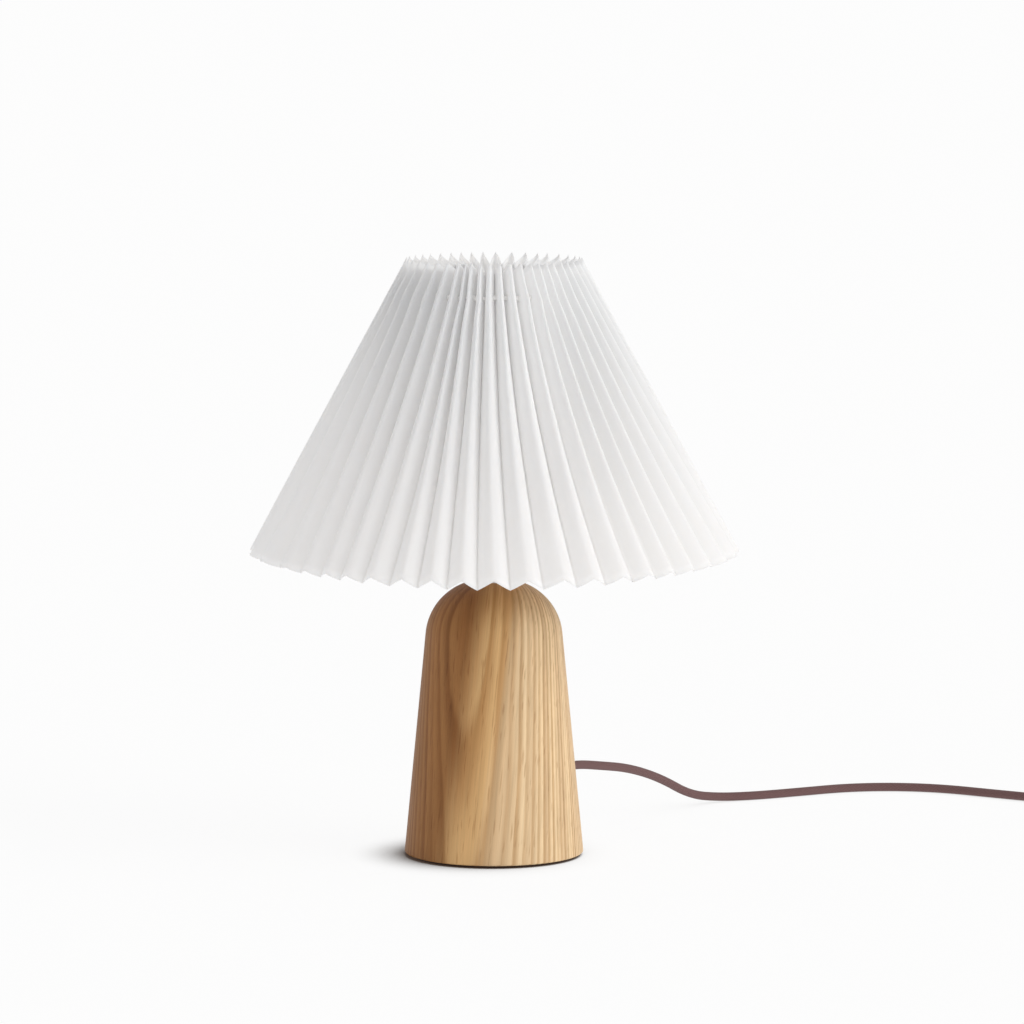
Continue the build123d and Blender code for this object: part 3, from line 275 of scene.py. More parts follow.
def curve_mesh(name, points, kind, order=2, **settings):
    """The mesh of a curve of one open spline. The curve itself is removed."""
    curve = bpy.data.curves.new(name, "CURVE")
    curve.dimensions = "3D"
    for key, value in settings.items():
        setattr(curve, key, value)
    spline = curve.splines.new(kind)
    spline.points.add(len(points) - 1)
    for place, point in zip(spline.points, points):
        place.co = (*point, 1.0)
    spline.order_u = order
    spline.use_endpoint_u = True
    holder = add_object(name, curve)
    mesh = bpy.data.meshes.new_from_object(holder)
    bpy.data.objects.remove(holder)
    bpy.data.curves.remove(curve)
    return mesh


def finish_piece(name, mesh, body, material):
    """Turn a mesh into a smooth piece of the lamp that rides on a body."""
    for face in mesh.polygons:
        face.use_smooth = True
    mesh.materials.clear()
    mesh.materials.append(material)
    piece = add_object(name, mesh)
    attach(piece, body)
    return piece


# ---------------- material helpers

# Places of the colour sockets on a Mix node.
MIX_SHARE, MIX_FIRST, MIX_SECOND = 0, 6, 7
MIX_RESULT = 2


def fill(tree, place, inputs):
    """Set or link the inputs of a node."""
    for key, value in inputs.items():
        if isinstance(value, bpy.types.NodeSocket):
            tree.links.new(value, place.inputs[key])
        else:
            place.inputs[key].default_value = value


def node(tree, kind, inputs=None, **settings):
    """Add a node, set its properties, and set or link its inputs."""
    made = tree.nodes.new(kind)
    for key, value in settings.items():
        setattr(made, key, value)
    fill(tree, made, inputs or {})
    return made


def maths(tree, operation, first, second=0.0, third=0.0):
    """A Math node's result."""
    made = node(tree, "ShaderNodeMath", {0: first, 1: second, 2: third}, operation=operation)
    return made.outputs[0]


def noise(tree, vector, scale, detail=2.0, rough=0.5, upwards=1.0):
    """A Noise Texture's value, which may change faster or slower along Z."""
    if upwards != 1.0:
        stretch = {"Vector": vector, "Scale": (1.0, 1.0, upwards)}
        vector = node(tree, "ShaderNodeMapping", stretch).outputs["Vector"]
    made = node(
        tree,
        "ShaderNodeTexNoise",
        {"Vector": vector, "Scale": scale, "Detail": detail, "Roughness": rough},
    )
    return made.outputs["Fac"]


def ranged(tree, value, low, high, to_low=0.0, to_high=1.0, kind="LINEAR"):
    """A value mapped from one range to another, and kept inside it."""
    made = node(
        tree,
        "ShaderNodeMapRange",
        {"Value": value, "From Min": low, "From Max": high, "To Min": to_low, "To Max": to_high},
        interpolation_type=kind,
    )
    return made.outputs["Result"]


def opaque(colour):
    """A colour with full alpha."""
    return (*colour, 1.0)


def scaled(colour, factor):
    """A colour made darker or paler."""
    return tuple(min(1.0, part * factor) for part in colour)


def grey(tree, value):
    """A value as a shade of grey."""
    return node(tree, "ShaderNodeCombineColor", {0: value, 1: value, 2: value}).outputs[0]


def ramped(tree, value, stops):
    """A value turned into a colour between stops, each a position and a colour."""
    made = node(tree, "ShaderNodeValToRGB", {"Fac": value})
    ramp = made.color_ramp
    ramp.interpolation = "EASE"
    first_two = list(zip(ramp.elements, stops))
    for stop, (position, colour) in first_two:
        stop.position = position
        stop.color = opaque(colour)
    for position, colour in stops[len(first_two) :]:
        ramp.elements.new(position).color = opaque(colour)
    return made.outputs["Color"]


def blended(tree, share, first, second, kind="MIX"):
    """Two colours mixed."""
    made = node(
        tree,
        "ShaderNodeMix",
        {MIX_SHARE: share, MIX_FIRST: first, MIX_SECOND: second},
        data_type="RGBA",
        blend_type=kind,
    )
    return made.outputs[MIX_RESULT]


def bent_normal(tree, height, strength, depth):
    """The normal that a small relief gives."""
    values = {"Height": height, "Strength": strength, "Distance": depth}
    return node(tree, "ShaderNodeBump", values).outputs["Normal"]


def blank_material(name):
    """A new material with its tree and its shader."""
    made = bpy.data.materials.new(name)
    made.use_nodes = True
    tree = made.node_tree
    shader = next(n for n in tree.nodes if n.type == "BSDF_PRINCIPLED")
    return made, tree, shader


def new_group(name, inputs, outputs):
    """A shader node group with its input and output nodes."""
    group = bpy.data.node_groups.new(name, "ShaderNodeTree")
    for label, kind, value in inputs:
        socket = group.interface.new_socket(label, in_out="INPUT", socket_type=kind)
        socket.default_value = value
    for label, kind in outputs:
        group.interface.new_socket(label, in_out="OUTPUT", socket_type=kind)
    return group, node(group, "NodeGroupInput"), node(group, "NodeGroupOutput")


def mottle_group():
    """Slow colour change, uneven gloss and a fine grain, for moulded, painted and metal parts."""
    name = "Mottle"
    if name in bpy.data.node_groups:
        return bpy.data.node_groups[name]
    group, source, sink = new_group(
        name,
        [
            ("Scale", "NodeSocketFloat", 60.0),
            ("Grain Scale", "NodeSocketFloat", 1500.0),
            ("Colour", "NodeSocketColor", (0.8, 0.8, 0.8, 1.0)),
            ("Darker", "NodeSocketColor", (0.7, 0.7, 0.7, 1.0)),
            ("Smooth", "NodeSocketFloat", 0.3),
            ("Rough", "NodeSocketFloat", 0.4),
        ],
        [
            ("Colour", "NodeSocketColor"),
            ("Roughness", "NodeSocketFloat"),
            ("Height", "NodeSocketFloat"),
        ],
    )
    place = node(group, "ShaderNodeTexCoord").outputs["Object"]
    slow = noise(group, place, source.outputs["Scale"], detail=4.0, rough=0.6)
    share = ranged(group, slow, 0.35, 0.7)
    smooth, rough = source.outputs["Smooth"], source.outputs["Rough"]
    results = {
        "Colour": blended(group, share, source.outputs["Colour"], source.outputs["Darker"]),
        "Roughness": ranged(group, slow, 0.3, 0.7, smooth, rough),
        "Height": noise(group, place, source.outputs["Grain Scale"]),
    }
    fill(group, sink, results)
    return group


def braid_group():
    """Two sets of crossing yarns, for the cord's sleeve."""
    name = "Braid"
    if name in bpy.data.node_groups:
        return bpy.data.node_groups[name]
    group, source, sink = new_group(
        name,
        [
            ("Along", "NodeSocketFloat", 0.0),
            ("Across", "NodeSocketFloat", 0.0),
            ("Yarn", "NodeSocketColor", (0.2, 0.1, 0.1, 1.0)),
            ("Raised", "NodeSocketColor", (0.3, 0.2, 0.2, 1.0)),
        ],
        [
            ("Colour", "NodeSocketColor"),
            ("Height", "NodeSocketFloat"),
        ],
    )
    ridges = []
    marks = []
    for operation in ("ADD", "SUBTRACT"):
        way = maths(group, operation, source.outputs["Along"], source.outputs["Across"])
        wave = maths(group, "SINE", maths(group, "MULTIPLY", way, math.tau))
        ridges.append(maths(group, "ABSOLUTE", wave))
        # a wave has two yarns, and every fourth yarn is marked
        yarn = maths(group, "FLOOR", maths(group, "MULTIPLY", way, 2.0))
        quarter = maths(group, "SINE", maths(group, "MULTIPLY", yarn, math.pi / 2))
        marks.append(maths(group, "GREATER_THAN", quarter, 0.0))
    # the first set lies on top where a marked yarn meets one without a mark
    swap = maths(group, "ABSOLUTE", maths(group, "SUBTRACT", *marks))
    over = maths(group, "MULTIPLY", ridges[0], swap)
    under = maths(group, "MULTIPLY", ridges[1], maths(group, "SUBTRACT", 1.0, swap))
    height = maths(group, "ADD", over, under)
    colour = blended(group, height, source.outputs["Yarn"], source.outputs["Raised"])
    fill(group, sink, {"Colour": colour, "Height": height})
    return group


def mottled(name, colour, darker, rough, scale, grain=1500.0, bump=0.02, depth=0.1 * MM, extra=None):
    """A material of the Mottle group, with extra values for the shader's own sockets."""
    if name in bpy.data.materials:
        return bpy.data.materials[name]
    made, tree, shader = blank_material(name)
    pattern = node(
        tree,
        "ShaderNodeGroup",
        {
            "Scale": scale,
            "Grain Scale": grain,
            "Colour": opaque(colour),
            "Darker": opaque(darker),
            "Smooth": rough[0],
            "Rough": rough[1],
        },
        node_tree=mottle_group(),
    )
    results = {
        "Base Color": pattern.outputs["Colour"],
        "Roughness": pattern.outputs["Roughness"],
        "Normal": bent_normal(tree, pattern.outputs["Height"], bump, depth),
    }
    fill(tree, shader, results | (extra or {}))
    return made


def dress(material, *names):
    """Give CAD nodes a material."""
    for name in names:
        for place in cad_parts[name].material_slots:
            place.material = material


# ---------------- wood

# Where the middle of the trunk stood, behind the foot at the right.
PITH = (70 * MM, 190 * MM)
# The grain follows the front of the foot, which slopes back and then rounds off into the crown.
FRONT_SLOPE = math.tan(math.radians(5.5))
CROWN_FROM = 137.05 * MM
CROWN_CENTRE = 133.6 * MM
CROWN_ROUND = 36 * MM
LEAST_SQUARE = 1e-6  # keeps the crown's root real above the foot
# How far the growth lines stray from arcs about the pith, and the strength of a year's line: the
# least, and how much more it may be.
RING_SWAY = 5 * MM
RING_RIPPLE = 1 * MM
LINE_LEAST = 0.25
LINE_SPREAD = 0.7
# How far the colour zones stray from straight bands, how they lean against the trunk, and
# between which sides they lie, left and right of the axis.
ZONE_SWAY = 16 * MM
ZONE_STREAK = 9 * MM
ZONE_LEAN = -0.05
ZONES_FROM, ZONES_TO = -37 * MM, 53 * MM
# Broad darker bands of many years: how often they change in a metre, and how strong they are.
BAND_RATE = 150.0
BAND_STRENGTH = 0.40
# Painted shade under the paper shade: the crown is darkened from the first height to the second.
CROWN_SHADE_FROM, CROWN_SHADE_TO = 142 * MM, 172 * MM
CROWN_SHADE_TINT = (0.74, 0.62, 0.50)
PORE_STRENGTH = 0.45
PORE_TINT = (0.55, 0.42, 0.30)


def trunk_places(tree, lean):
    """Side, depth and height in the wood, counted from the trunk's lean and the foot's front."""
    place = node(tree, "ShaderNodeTexCoord").outputs["Object"]
    parts = node(tree, "ShaderNodeSeparateXYZ", {0: place})
    x, y, z = (parts.outputs[name] for name in "XYZ")
    side = maths(tree, "SUBTRACT", x, maths(tree, "MULTIPLY", z, math.tan(lean)))
    low = maths(tree, "MINIMUM", z, CROWN_FROM)
    high = maths(tree, "SUBTRACT", maths(tree, "MAXIMUM", z, CROWN_FROM), CROWN_CENTRE)
    square = maths(tree, "SUBTRACT", CROWN_ROUND**2, maths(tree, "MULTIPLY", high, high))
    root = maths(tree, "SQRT", maths(tree, "MAXIMUM", square, LEAST_SQUARE))
    crown = maths(tree, "SUBTRACT", CROWN_ROUND, root)
    front = maths(tree, "MULTIPLY_ADD", low, FRONT_SLOPE, crown)
    return side, maths(tree, "SUBTRACT", y, front), z


def pith_distance(tree, trunk, side, depth, sway):
    """How far the wood lies from the pith, with the sway that every trunk has."""
    flat = node(tree, "ShaderNodeCombineXYZ", {0: side, 1: depth}).outputs[0]
    ends = {0: flat, 1: (*PITH, 0.0)}
    straight = node(tree, "ShaderNodeVectorMath", ends, operation="DISTANCE").outputs["Value"]
    swayed = maths(tree, "MULTIPLY_ADD", sway, RING_SWAY, straight)
    ripple = noise(tree, trunk, scale=120.0, upwards=0.10)
    return maths(tree, "ADD", swayed, maths(tree, "MULTIPLY", ripple, RING_RIPPLE))


def growth_lines(tree, distance, gap):
    """Dark lines at the end of every year's growth, each with its own strength."""
    count = maths(tree, "DIVIDE", distance, gap)
    year = maths(tree, "FLOOR", count)
    own = node(tree, "ShaderNodeTexWhiteNoise", {"W": year}, noise_dimensions="1D").outputs["Value"]
    late = ramped(
        tree,
        maths(tree, "FRACT", count),
        ((0.15, (0.0, 0.0, 0.0)), (0.82, (1.0, 1.0, 1.0)), (1.0, (0.1, 0.1, 0.1))),
    )
    return maths(tree, "MULTIPLY", late, maths(tree, "MULTIPLY_ADD", own, LINE_SPREAD, LINE_LEAST))


def wood_zones(tree, settings, side, z, sway, streak):
    """Heart, middle and sapwood, from left to right, with the left darkened further as painted shade.
    """
    leaning = maths(tree, "MULTIPLY_ADD", z, ZONE_LEAN, side)
    swayed = maths(tree, "MULTIPLY_ADD", sway, ZONE_SWAY, leaning)
    drift = maths(tree, "ADD", swayed, maths(tree, "MULTIPLY", streak, ZONE_STREAK))
    return ramped(
        tree,
        ranged(tree, drift, ZONES_FROM, ZONES_TO),
        ((0.12, settings.deep), (0.30, settings.tan), (0.37, settings.tan), (0.53, settings.pale)),
    )


def wood_material(settings):
    """Solid turned wood, cut from one leaning trunk: heart at the left, sapwood at the right, with
    painted shade on the left side and on the crown.
    """
    made, tree, shader = blank_material("Light Wood")
    side, depth, z = trunk_places(tree, settings.lean)
    trunk = node(tree, "ShaderNodeCombineXYZ", {0: side, 1: depth, 2: z}).outputs[0]
    sway = noise(tree, trunk, scale=14.0, upwards=0.22)
    # fibres and pores run along the trunk
    fibre = noise(tree, trunk, scale=1100.0, detail=3.0, rough=0.6, upwards=0.012)
    streak = noise(tree, trunk, scale=260.0, detail=3.0, rough=0.6, upwards=0.02)
    pore = ranged(tree, noise(tree, trunk, scale=900.0, detail=1.0, upwards=0.06), 0.62, 0.72)
    distance = pith_distance(tree, trunk, side, depth, sway)
    body = wood_zones(tree, settings, side, z, sway, streak)
    broad = node(
        tree,
        "ShaderNodeTexNoise",
        {"W": maths(tree, "MULTIPLY", distance, BAND_RATE), "Scale": 1.0, "Detail": 2.0},
        noise_dimensions="1D",
    ).outputs["Fac"]
    bands = maths(tree, "MULTIPLY", ranged(tree, broad, 0.45, 0.80), BAND_STRENGTH)
    body = blended(tree, bands, body, opaque(scaled(settings.deep, 1.1)))
    lines = growth_lines(tree, distance, settings.ring_gap)
    body = blended(tree, lines, body, opaque(settings.line), "MULTIPLY")
    # painted shade: the crown darkens towards the top, where the paper shade's shadow falls
    crown_shade = ranged(tree, z, CROWN_SHADE_FROM, CROWN_SHADE_TO, kind="SMOOTHSTEP")
    body = blended(tree, crown_shade, body, opaque(CROWN_SHADE_TINT), "MULTIPLY")
    shade = maths(
        tree,
        "MULTIPLY",
        ranged(tree, fibre, 0.3, 0.72, to_low=1.05, to_high=0.90),
        ranged(tree, streak, 0.3, 0.72, to_low=1.07, to_high=0.88),
    )
    body = blended(tree, 1.0, body, grey(tree, shade), "MULTIPLY")
    pores = maths(tree, "MULTIPLY", pore, PORE_STRENGTH)
    body = blended(tree, pores, body, opaque(PORE_TINT), "MULTIPLY")
    relief = maths(tree, "SUBTRACT", maths(tree, "MULTIPLY", fibre, 0.5), pore)
    results = {
        "Base Color": body,
        "Roughness": ranged(tree, fibre, 0.3, 0.7, to_low=0.46, to_high=0.60),
        "Normal": bent_normal(tree, relief, strength=0.14, depth=0.1 * MM),
        "Specular IOR Level": 0.20,
    }
    fill(tree, shader, results)
    return made


# ---------------- paper and textile

# Painted glow, an emission that stands in for light from the right shining through the narrow upper
# pleats: it grows with the height and from the left, and falls to a tenth towards the right edge.
GLOW_HEIGHT = (245 * MM, 350 * MM)
GLOW_LEFT = (-60 * MM, 25 * MM)
GLOW_RIGHT = (35 * MM, 105 * MM)
GLOW_EDGE = 0.1
# How deep light enters the paper, and how much of that red, green and blue reach.
PAPER_DEPTH = 3.5 * MM
PAPER_SPREAD = (1.0, 0.94, 0.88)
CLOUD_SHADE = 0.985
# How many waves of the braid go round the cord, and how long one is along it.
BRAID_WAVES = 8.0
BRAID_LENGTH = 5.2 * MM
# What the fuzz adds to the braid: a share of the paler yarn, and height.
FUZZ_PALE = 0.2
FUZZ_HEIGHT = 0.4


def paper_material(settings):
    """Matt folded paper, clouded and with a fine tooth, that lets some light through, with a painted
    glow on its upper pleats.
    """
    made, tree, shader = blank_material("Shade Paper")
    place = node(tree, "ShaderNodeTexCoord").outputs["Object"]
    cloud = noise(tree, place, scale=260.0, detail=5.0, rough=0.65)
    tooth = noise(tree, place, scale=2600.0)
    clouded = opaque(scaled(settings.colour, CLOUD_SHADE))
    parts = node(tree, "ShaderNodeSeparateXYZ", {0: place})
    x, z = parts.outputs["X"], parts.outputs["Z"]
    # painted glow: the paper emits light where light from the right would shine through it
    painted_glow = maths(tree, "MULTIPLY", ranged(tree, z, *GLOW_HEIGHT), ranged(tree, x, *GLOW_LEFT))
    painted_glow = maths(tree, "MULTIPLY", painted_glow, ranged(tree, x, *GLOW_RIGHT, to_low=1.0, to_high=GLOW_EDGE))
    results = {
        "Base Color": blended(tree, ranged(tree, cloud, 0.3, 0.75), opaque(settings.colour), clouded),
        "Roughness": ranged(tree, cloud, 0.0, 1.0, to_low=0.74, to_high=0.86),
        "Normal": bent_normal(tree, tooth, strength=0.10, depth=0.06 * MM),
        "Emission Color": grey(tree, painted_glow),
        "Emission Strength": settings.glow,
        "Subsurface Weight": 1.0,
        "Subsurface Radius": PAPER_SPREAD,
        "Subsurface Scale": PAPER_DEPTH,
        "Specular IOR Level": 0.25,
    }
    fill(tree, shader, results)
    return made


def cord_material(settings, length):
    """Braided textile sleeve, on the cord's own UV map: U along the cord, V round it."""
    made, tree, shader = blank_material("Textile Cord")
    uv = node(tree, "ShaderNodeUVMap", uv_map="UVMap").outputs["UV"]
    parts = node(tree, "ShaderNodeSeparateXYZ", {0: uv})
    yarn_pale = opaque(settings.yarn_pale)
    pattern = node(
        tree,
        "ShaderNodeGroup",
        {
            "Along": maths(tree, "MULTIPLY", parts.outputs["X"], length / BRAID_LENGTH),
            "Across": maths(tree, "MULTIPLY", parts.outputs["Y"], BRAID_WAVES),
            "Yarn": opaque(settings.yarn),
            "Raised": yarn_pale,
        },
        node_tree=braid_group(),
    )
    fuzz = noise(tree, node(tree, "ShaderNodeTexCoord").outputs["Object"], scale=2200.0)
    share = maths(tree, "MULTIPLY", fuzz, FUZZ_PALE)
    height = maths(tree, "MULTIPLY_ADD", fuzz, FUZZ_HEIGHT, pattern.outputs["Height"])
    results = {
        "Base Color": blended(tree, share, pattern.outputs["Colour"], yarn_pale),
        "Roughness": ranged(tree, fuzz, 0.0, 1.0, to_low=0.72, to_high=0.9),
        "Normal": bent_normal(tree, height, strength=0.6, depth=0.25 * MM),
        "Sheen Weight": 0.08,
        "Sheen Roughness": 0.5,
        "Specular IOR Level": 0.2,
    }
    fill(tree, shader, results)
    return made


# ---------------- finishes of several pieces

METAL = {"Metallic": 1.0}


def zinc_steel():
    """Zinc-plated steel of plates, nuts and screws."""
    return mottled(
        "Zinc Steel", colour=(0.62, 0.63, 0.64), darker=(0.50, 0.51, 0.53), rough=(0.30, 0.48),
        scale=140.0, bump=0.08, extra=METAL,
    )


def brass():
    """Brass of the tube, the contacts and the terminals."""
    return mottled(
        "Brass", colour=(0.80, 0.58, 0.27), darker=(0.62, 0.43, 0.18), rough=(0.22, 0.40),
        scale=160.0, bump=0.05, extra=METAL,
    )


def white_plastic(white):
    """Moulded plastic of the holder and of the clamp in the foot."""
    return mottled(
        "White Plastic", colour=white, darker=scaled(white, 0.94), rough=(0.30, 0.42),
        scale=70.0, grain=1800.0, bump=0.06,
    )


def ceramic():
    """Unglazed ceramic that carries live parts."""
    return mottled(
        "Ceramic Insert", colour=(0.74, 0.72, 0.68), darker=(0.66, 0.64, 0.60), rough=(0.35, 0.55),
        scale=200.0, grain=1200.0, bump=0.1,
    )


# ---------------- shade

# Azimuth of every outer fold in degrees, from the front towards the right. The upper list goes
# all round, and the lower one stops where the hidden folds begin, which stand evenly.
FOLDS_HIGH = (
    -40.0, -31.9, -23.6, -18.5, -15.0, -8.8, -3.2, 3.5, 10.1, 17.4, 24.5, 30.2, 36.0, 41.5, 48.7,
    55.2, 62.7, 71.5, 81.0, 91.8, 102.6, 112.1, 121.7, 131.8, 142.3, 149.9, 158.7, 168.0, 178.9,
    187.3, 195.0, 202.2, 209.5, 217.9, 226.7, 234.5, 243.6, 254.0, 264.2, 274.4, 284.0, 293.4,
    302.5, 311.4,
)
FOLDS_LOW = (
    -41.8, -35.8, -29.1, -21.3, -14.2, -7.2, 0.0, 7.7, 16.1, 23.2, 30.7, 37.7, 44.7, 51.9, 59.5,
    68.5, 79.5, 91.0,
)
FOLDS_LOW_END = (-95.0, -82.0, -68.0, -56.0, -48.7)
FULL_TURN = 360

thread_low, thread_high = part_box("shade_thread")
THREAD_Z = (thread_low.z + thread_high.z) / 2
# In shares of the shade's height: where the thread runs, and how far from it its pull is felt.
THREAD_RISE = (THREAD_Z - RIM_LOW["height"]) / (RIM_HIGH["height"] - RIM_LOW["height"])
PULL_REACH = 0.035
# An outer fold is flat for this share of half a pleat on either side, then falls away in a curve.
CREST = 0.10
CREST_ROUND = 1.0
# The rims' zigzag is nearly straight. At the front of the upper rim it is flatter and rounder.
TIP_ROUND = 0.05
FRONT_CREST = 0.22
FRONT_ROUND = 0.5
# The panels are never quite flat, but swell in waves that wind up the shade.
SWELL = 0.5 * MM
SWELL_WAVES = 2.9
SWELL_CLIMB = 4
COLUMNS = 16  # across one pleat
ROWS = 44  # up the shade
FOLD_SEED = 7


def lower_folds():
    """All outer folds at the lower rim, with the hidden ones spread evenly."""
    hidden = len(FOLDS_HIGH) - len(FOLDS_LOW) - len(FOLDS_LOW_END)
    first = FOLDS_LOW[-1]
    last = FOLDS_LOW_END[0] + FULL_TURN
    step = (last - first) / (hidden + 1)
    even = [first + step * (number + 1) for number in range(hidden)]
    return [*FOLDS_LOW, *even, *(angle + FULL_TURN for angle in FOLDS_LOW_END)]


class Folds:
    """Where every outer and inner fold stands, at the lower and at the upper rim."""

    def __init__(self, settings):
        dice = random.Random(FOLD_SEED)
        self.outer = [
            (math.radians(low), math.radians(high))
            for low, high in zip(lower_folds(), FOLDS_HIGH)
        ]
        self.outer.append(tuple(angle + math.tau for angle in self.outer[0]))
        self.inner = [
            tuple((a + b) / 2 + dice.uniform(-1, 1) * settings.unrest for a, b in zip(here, there))
            for here, there in zip(self.outer, self.outer[1:])
        ]
        self.pinch = [dice.uniform(-1, 1) * settings.pinch for _ in self.inner]
        self.pinch.append(self.pinch[0])
        self.count = len(self.inner)

    def angle(self, pleat, phase, rise):
        """Azimuth of a place across a pleat, at a share of the shade's height."""
        near = math.exp(-(((rise - THREAD_RISE) / PULL_REACH) ** 2))
        ends = []
        for place, lines in ((pleat, self.outer), (pleat, self.inner), (pleat + 1, self.outer)):
            low, high = lines[place]
            sway = self.pinch[place] * near if lines is self.outer else 0.0
            ends.append(low + (high - low) * rise + sway)
        if phase < 0.5:
            return ends[0] + (ends[1] - ends[0]) * phase * 2
        return ends[1] + (ends[2] - ends[1]) * (phase * 2 - 1)


def fold_depth(phase, crest, roundness):
    """Share of a pleat's depth: 0 on its outer folds (phases 0 and 1), 1 on its inner fold (0.5)."""
    ramp = 1 - abs(1 - 2 * phase)
    share = max(0.0, (ramp - crest) / (1 - crest))
    return share ** (1 + roundness)


def rim_point(azimuth, radius, height):
    """A point at an azimuth that is measured from the front (-Y) towards the right (+X)."""
    return Vector((radius * math.sin(azimuth), -radius * math.cos(azimuth), height))


def rim_profile(rim, depth, drop, facing):
    """Radius and height of a rim at shares of its depth and of its drop."""
    whole_drop = rim["side_drop"] + (rim["front_drop"] - rim["side_drop"]) * facing
    return rim["radius"] - rim["depth"] * depth, rim["height"] - whole_drop * drop


def paper_point(folds, pleat, phase, rise):
    """A point of the folded paper, across a pleat and up the shade."""
    azimuth = folds.angle(pleat, phase, rise)
    ahead = max(0.0, math.cos(azimuth)) * rise**3
    depth = fold_depth(phase, CREST, CREST_ROUND)
    drop = fold_depth(phase, FRONT_CREST * ahead, TIP_ROUND + FRONT_ROUND * ahead)
    facing = math.cos(azimuth) ** 2
    low_r, low_z = rim_profile(RIM_LOW, depth, drop, facing)
    high_r, high_z = rim_profile(RIM_HIGH, depth, drop, facing)
    wave = math.sin(SWELL_WAVES * azimuth + SWELL_CLIMB * rise) * math.sin(math.pi * rise)
    radius = low_r + (high_r - low_r) * rise + wave * SWELL * depth
    return rim_point(azimuth, radius, low_z + (high_z - low_z) * rise)


def make_shade(settings):
    """Folded paper: a ring of points is extruded upwards, and each is moved to its fold."""
    folds = Folds(settings)
    bm = bmesh.new()
    ring = bmesh.ops.create_circle(
        bm, cap_ends=False, segments=folds.count * COLUMNS, radius=RIM_LOW["radius"]
    )["verts"]
    rows = [list(ring)]
    edges = list(bm.edges)
    for _ in range(ROWS):
        grown = bmesh.ops.extrude_edge_only(bm, edges=edges)["geom"]
        edges = [part for part in grown if isinstance(part, bmesh.types.BMEdge) and part.is_boundary]
        kept = set(edges)
        above = {}
        for edge in edges:
            for vert in edge.verts:
                upright = next(link for link in vert.link_edges if link not in kept)
                above[upright.other_vert(vert)] = vert
        rows.append([above[vert] for vert in rows[-1]])
    for number, row in enumerate(rows):
        for column, vert in enumerate(row):
            pleat, part = divmod(column, COLUMNS)
            vert.co = paper_point(folds, pleat, part / COLUMNS, number / ROWS)
    bmesh.ops.recalc_face_normals(bm, faces=bm.faces)
    first = next(iter(bm.faces))
    if first.normal.dot(first.calc_center_median()) < 0:
        bmesh.ops.reverse_faces(bm, faces=bm.faces)
    mesh = mesh_of("paper_shade", bm)
    paper = finish_piece("paper_shade", mesh, "shade", paper_material(settings))
    wall = paper.modifiers.new("Paper", "SOLIDIFY")
    wall.thickness = settings.thickness
    wall.offset = -1.0
    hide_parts("shade_paper")
    return folds


# ---------------- thread

THREAD_SIDES = 8
THREAD_STEPS = 8  # along one pleat
# Fuzzy tufts, one on either side of each inner fold: where they sit across a pleat, how far out
# from the thread and how wide and high they are in yarn radii, and how much they vary.
TUFT_PHASES = (0.42, 0.58)
TUFT_OUT = (1.2, 1.7)
TUFT_WIDTH = (0.7, 1.0)
TUFT_HEIGHT = 1.4
TUFT_SHIFT = 0.4 * MM
TUFT_FUZZ = 0.30 * MM
TUFT_SEED = 11


def add_tuft(bm, dice, azimuth, turn_r, yarn_r):
    """One fuzzy ball of yarn in front of the thread."""
    out = turn_r + yarn_r * dice.uniform(*TUFT_OUT)
    centre = rim_point(azimuth, out, THREAD_Z + dice.uniform(-TUFT_SHIFT, TUFT_SHIFT))
    wide, thick = dice.uniform(*TUFT_WIDTH), dice.uniform(*TUFT_WIDTH)
    made = bmesh.ops.create_icosphere(
        bm,
        subdivisions=2,
        radius=yarn_r,
        matrix=Matrix.Translation(centre) @ Matrix.Diagonal((wide, thick, TUFT_HEIGHT, 1.0)),
    )
    for vert in made["verts"]:
        vert.co += Vector([dice.uniform(-TUFT_FUZZ, TUFT_FUZZ) for _ in range(3)])


def make_thread(settings, folds):
    """Thread through the pleats, with tufts where it shows in the valleys."""
    turn_r = (thread_high.x - thread_low.x) / 2 - settings.thread_r
    bm = bmesh.new()
    bmesh.ops.create_circle(
        bm,
        cap_ends=False,
        segments=THREAD_SIDES,
        radius=settings.thread_r,
        matrix=Matrix.Translation((turn_r, 0, THREAD_Z)) @ Matrix.Rotation(math.pi / 2, 4, "X"),
    )
    bmesh.ops.spin(
        bm,
        geom=list(bm.verts) + list(bm.edges),
        cent=(0, 0, 0),
        axis=(0, 0, 1),
        angle=math.tau,
        steps=folds.count * THREAD_STEPS,
        use_merge=True,
    )
    dice = random.Random(TUFT_SEED)
    for pleat in range(folds.count):
        for phase in TUFT_PHASES:
            azimuth = folds.angle(pleat, phase, THREAD_RISE)
            add_tuft(bm, dice, azimuth, turn_r, settings.yarn_r)
    bmesh.ops.recalc_face_normals(bm, faces=bm.faces)
    cotton = mottled(
        "White Thread", colour=(0.93, 0.925, 0.915), darker=(0.86, 0.855, 0.84), rough=(0.7, 0.85),
        scale=900.0, grain=3000.0, bump=0.3,
    )
    mesh = mesh_of("binding_thread", bm)
    thread = finish_piece("binding_thread", mesh, "shade", cotton)
    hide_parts("shade_thread")


# ---------------- cord

# Where the cord leaves its guard at the foot, in millimetres.
EXIT_R = 72.93
EXIT_AZIMUTH = math.radians(55)
EXIT_Z = 44.0
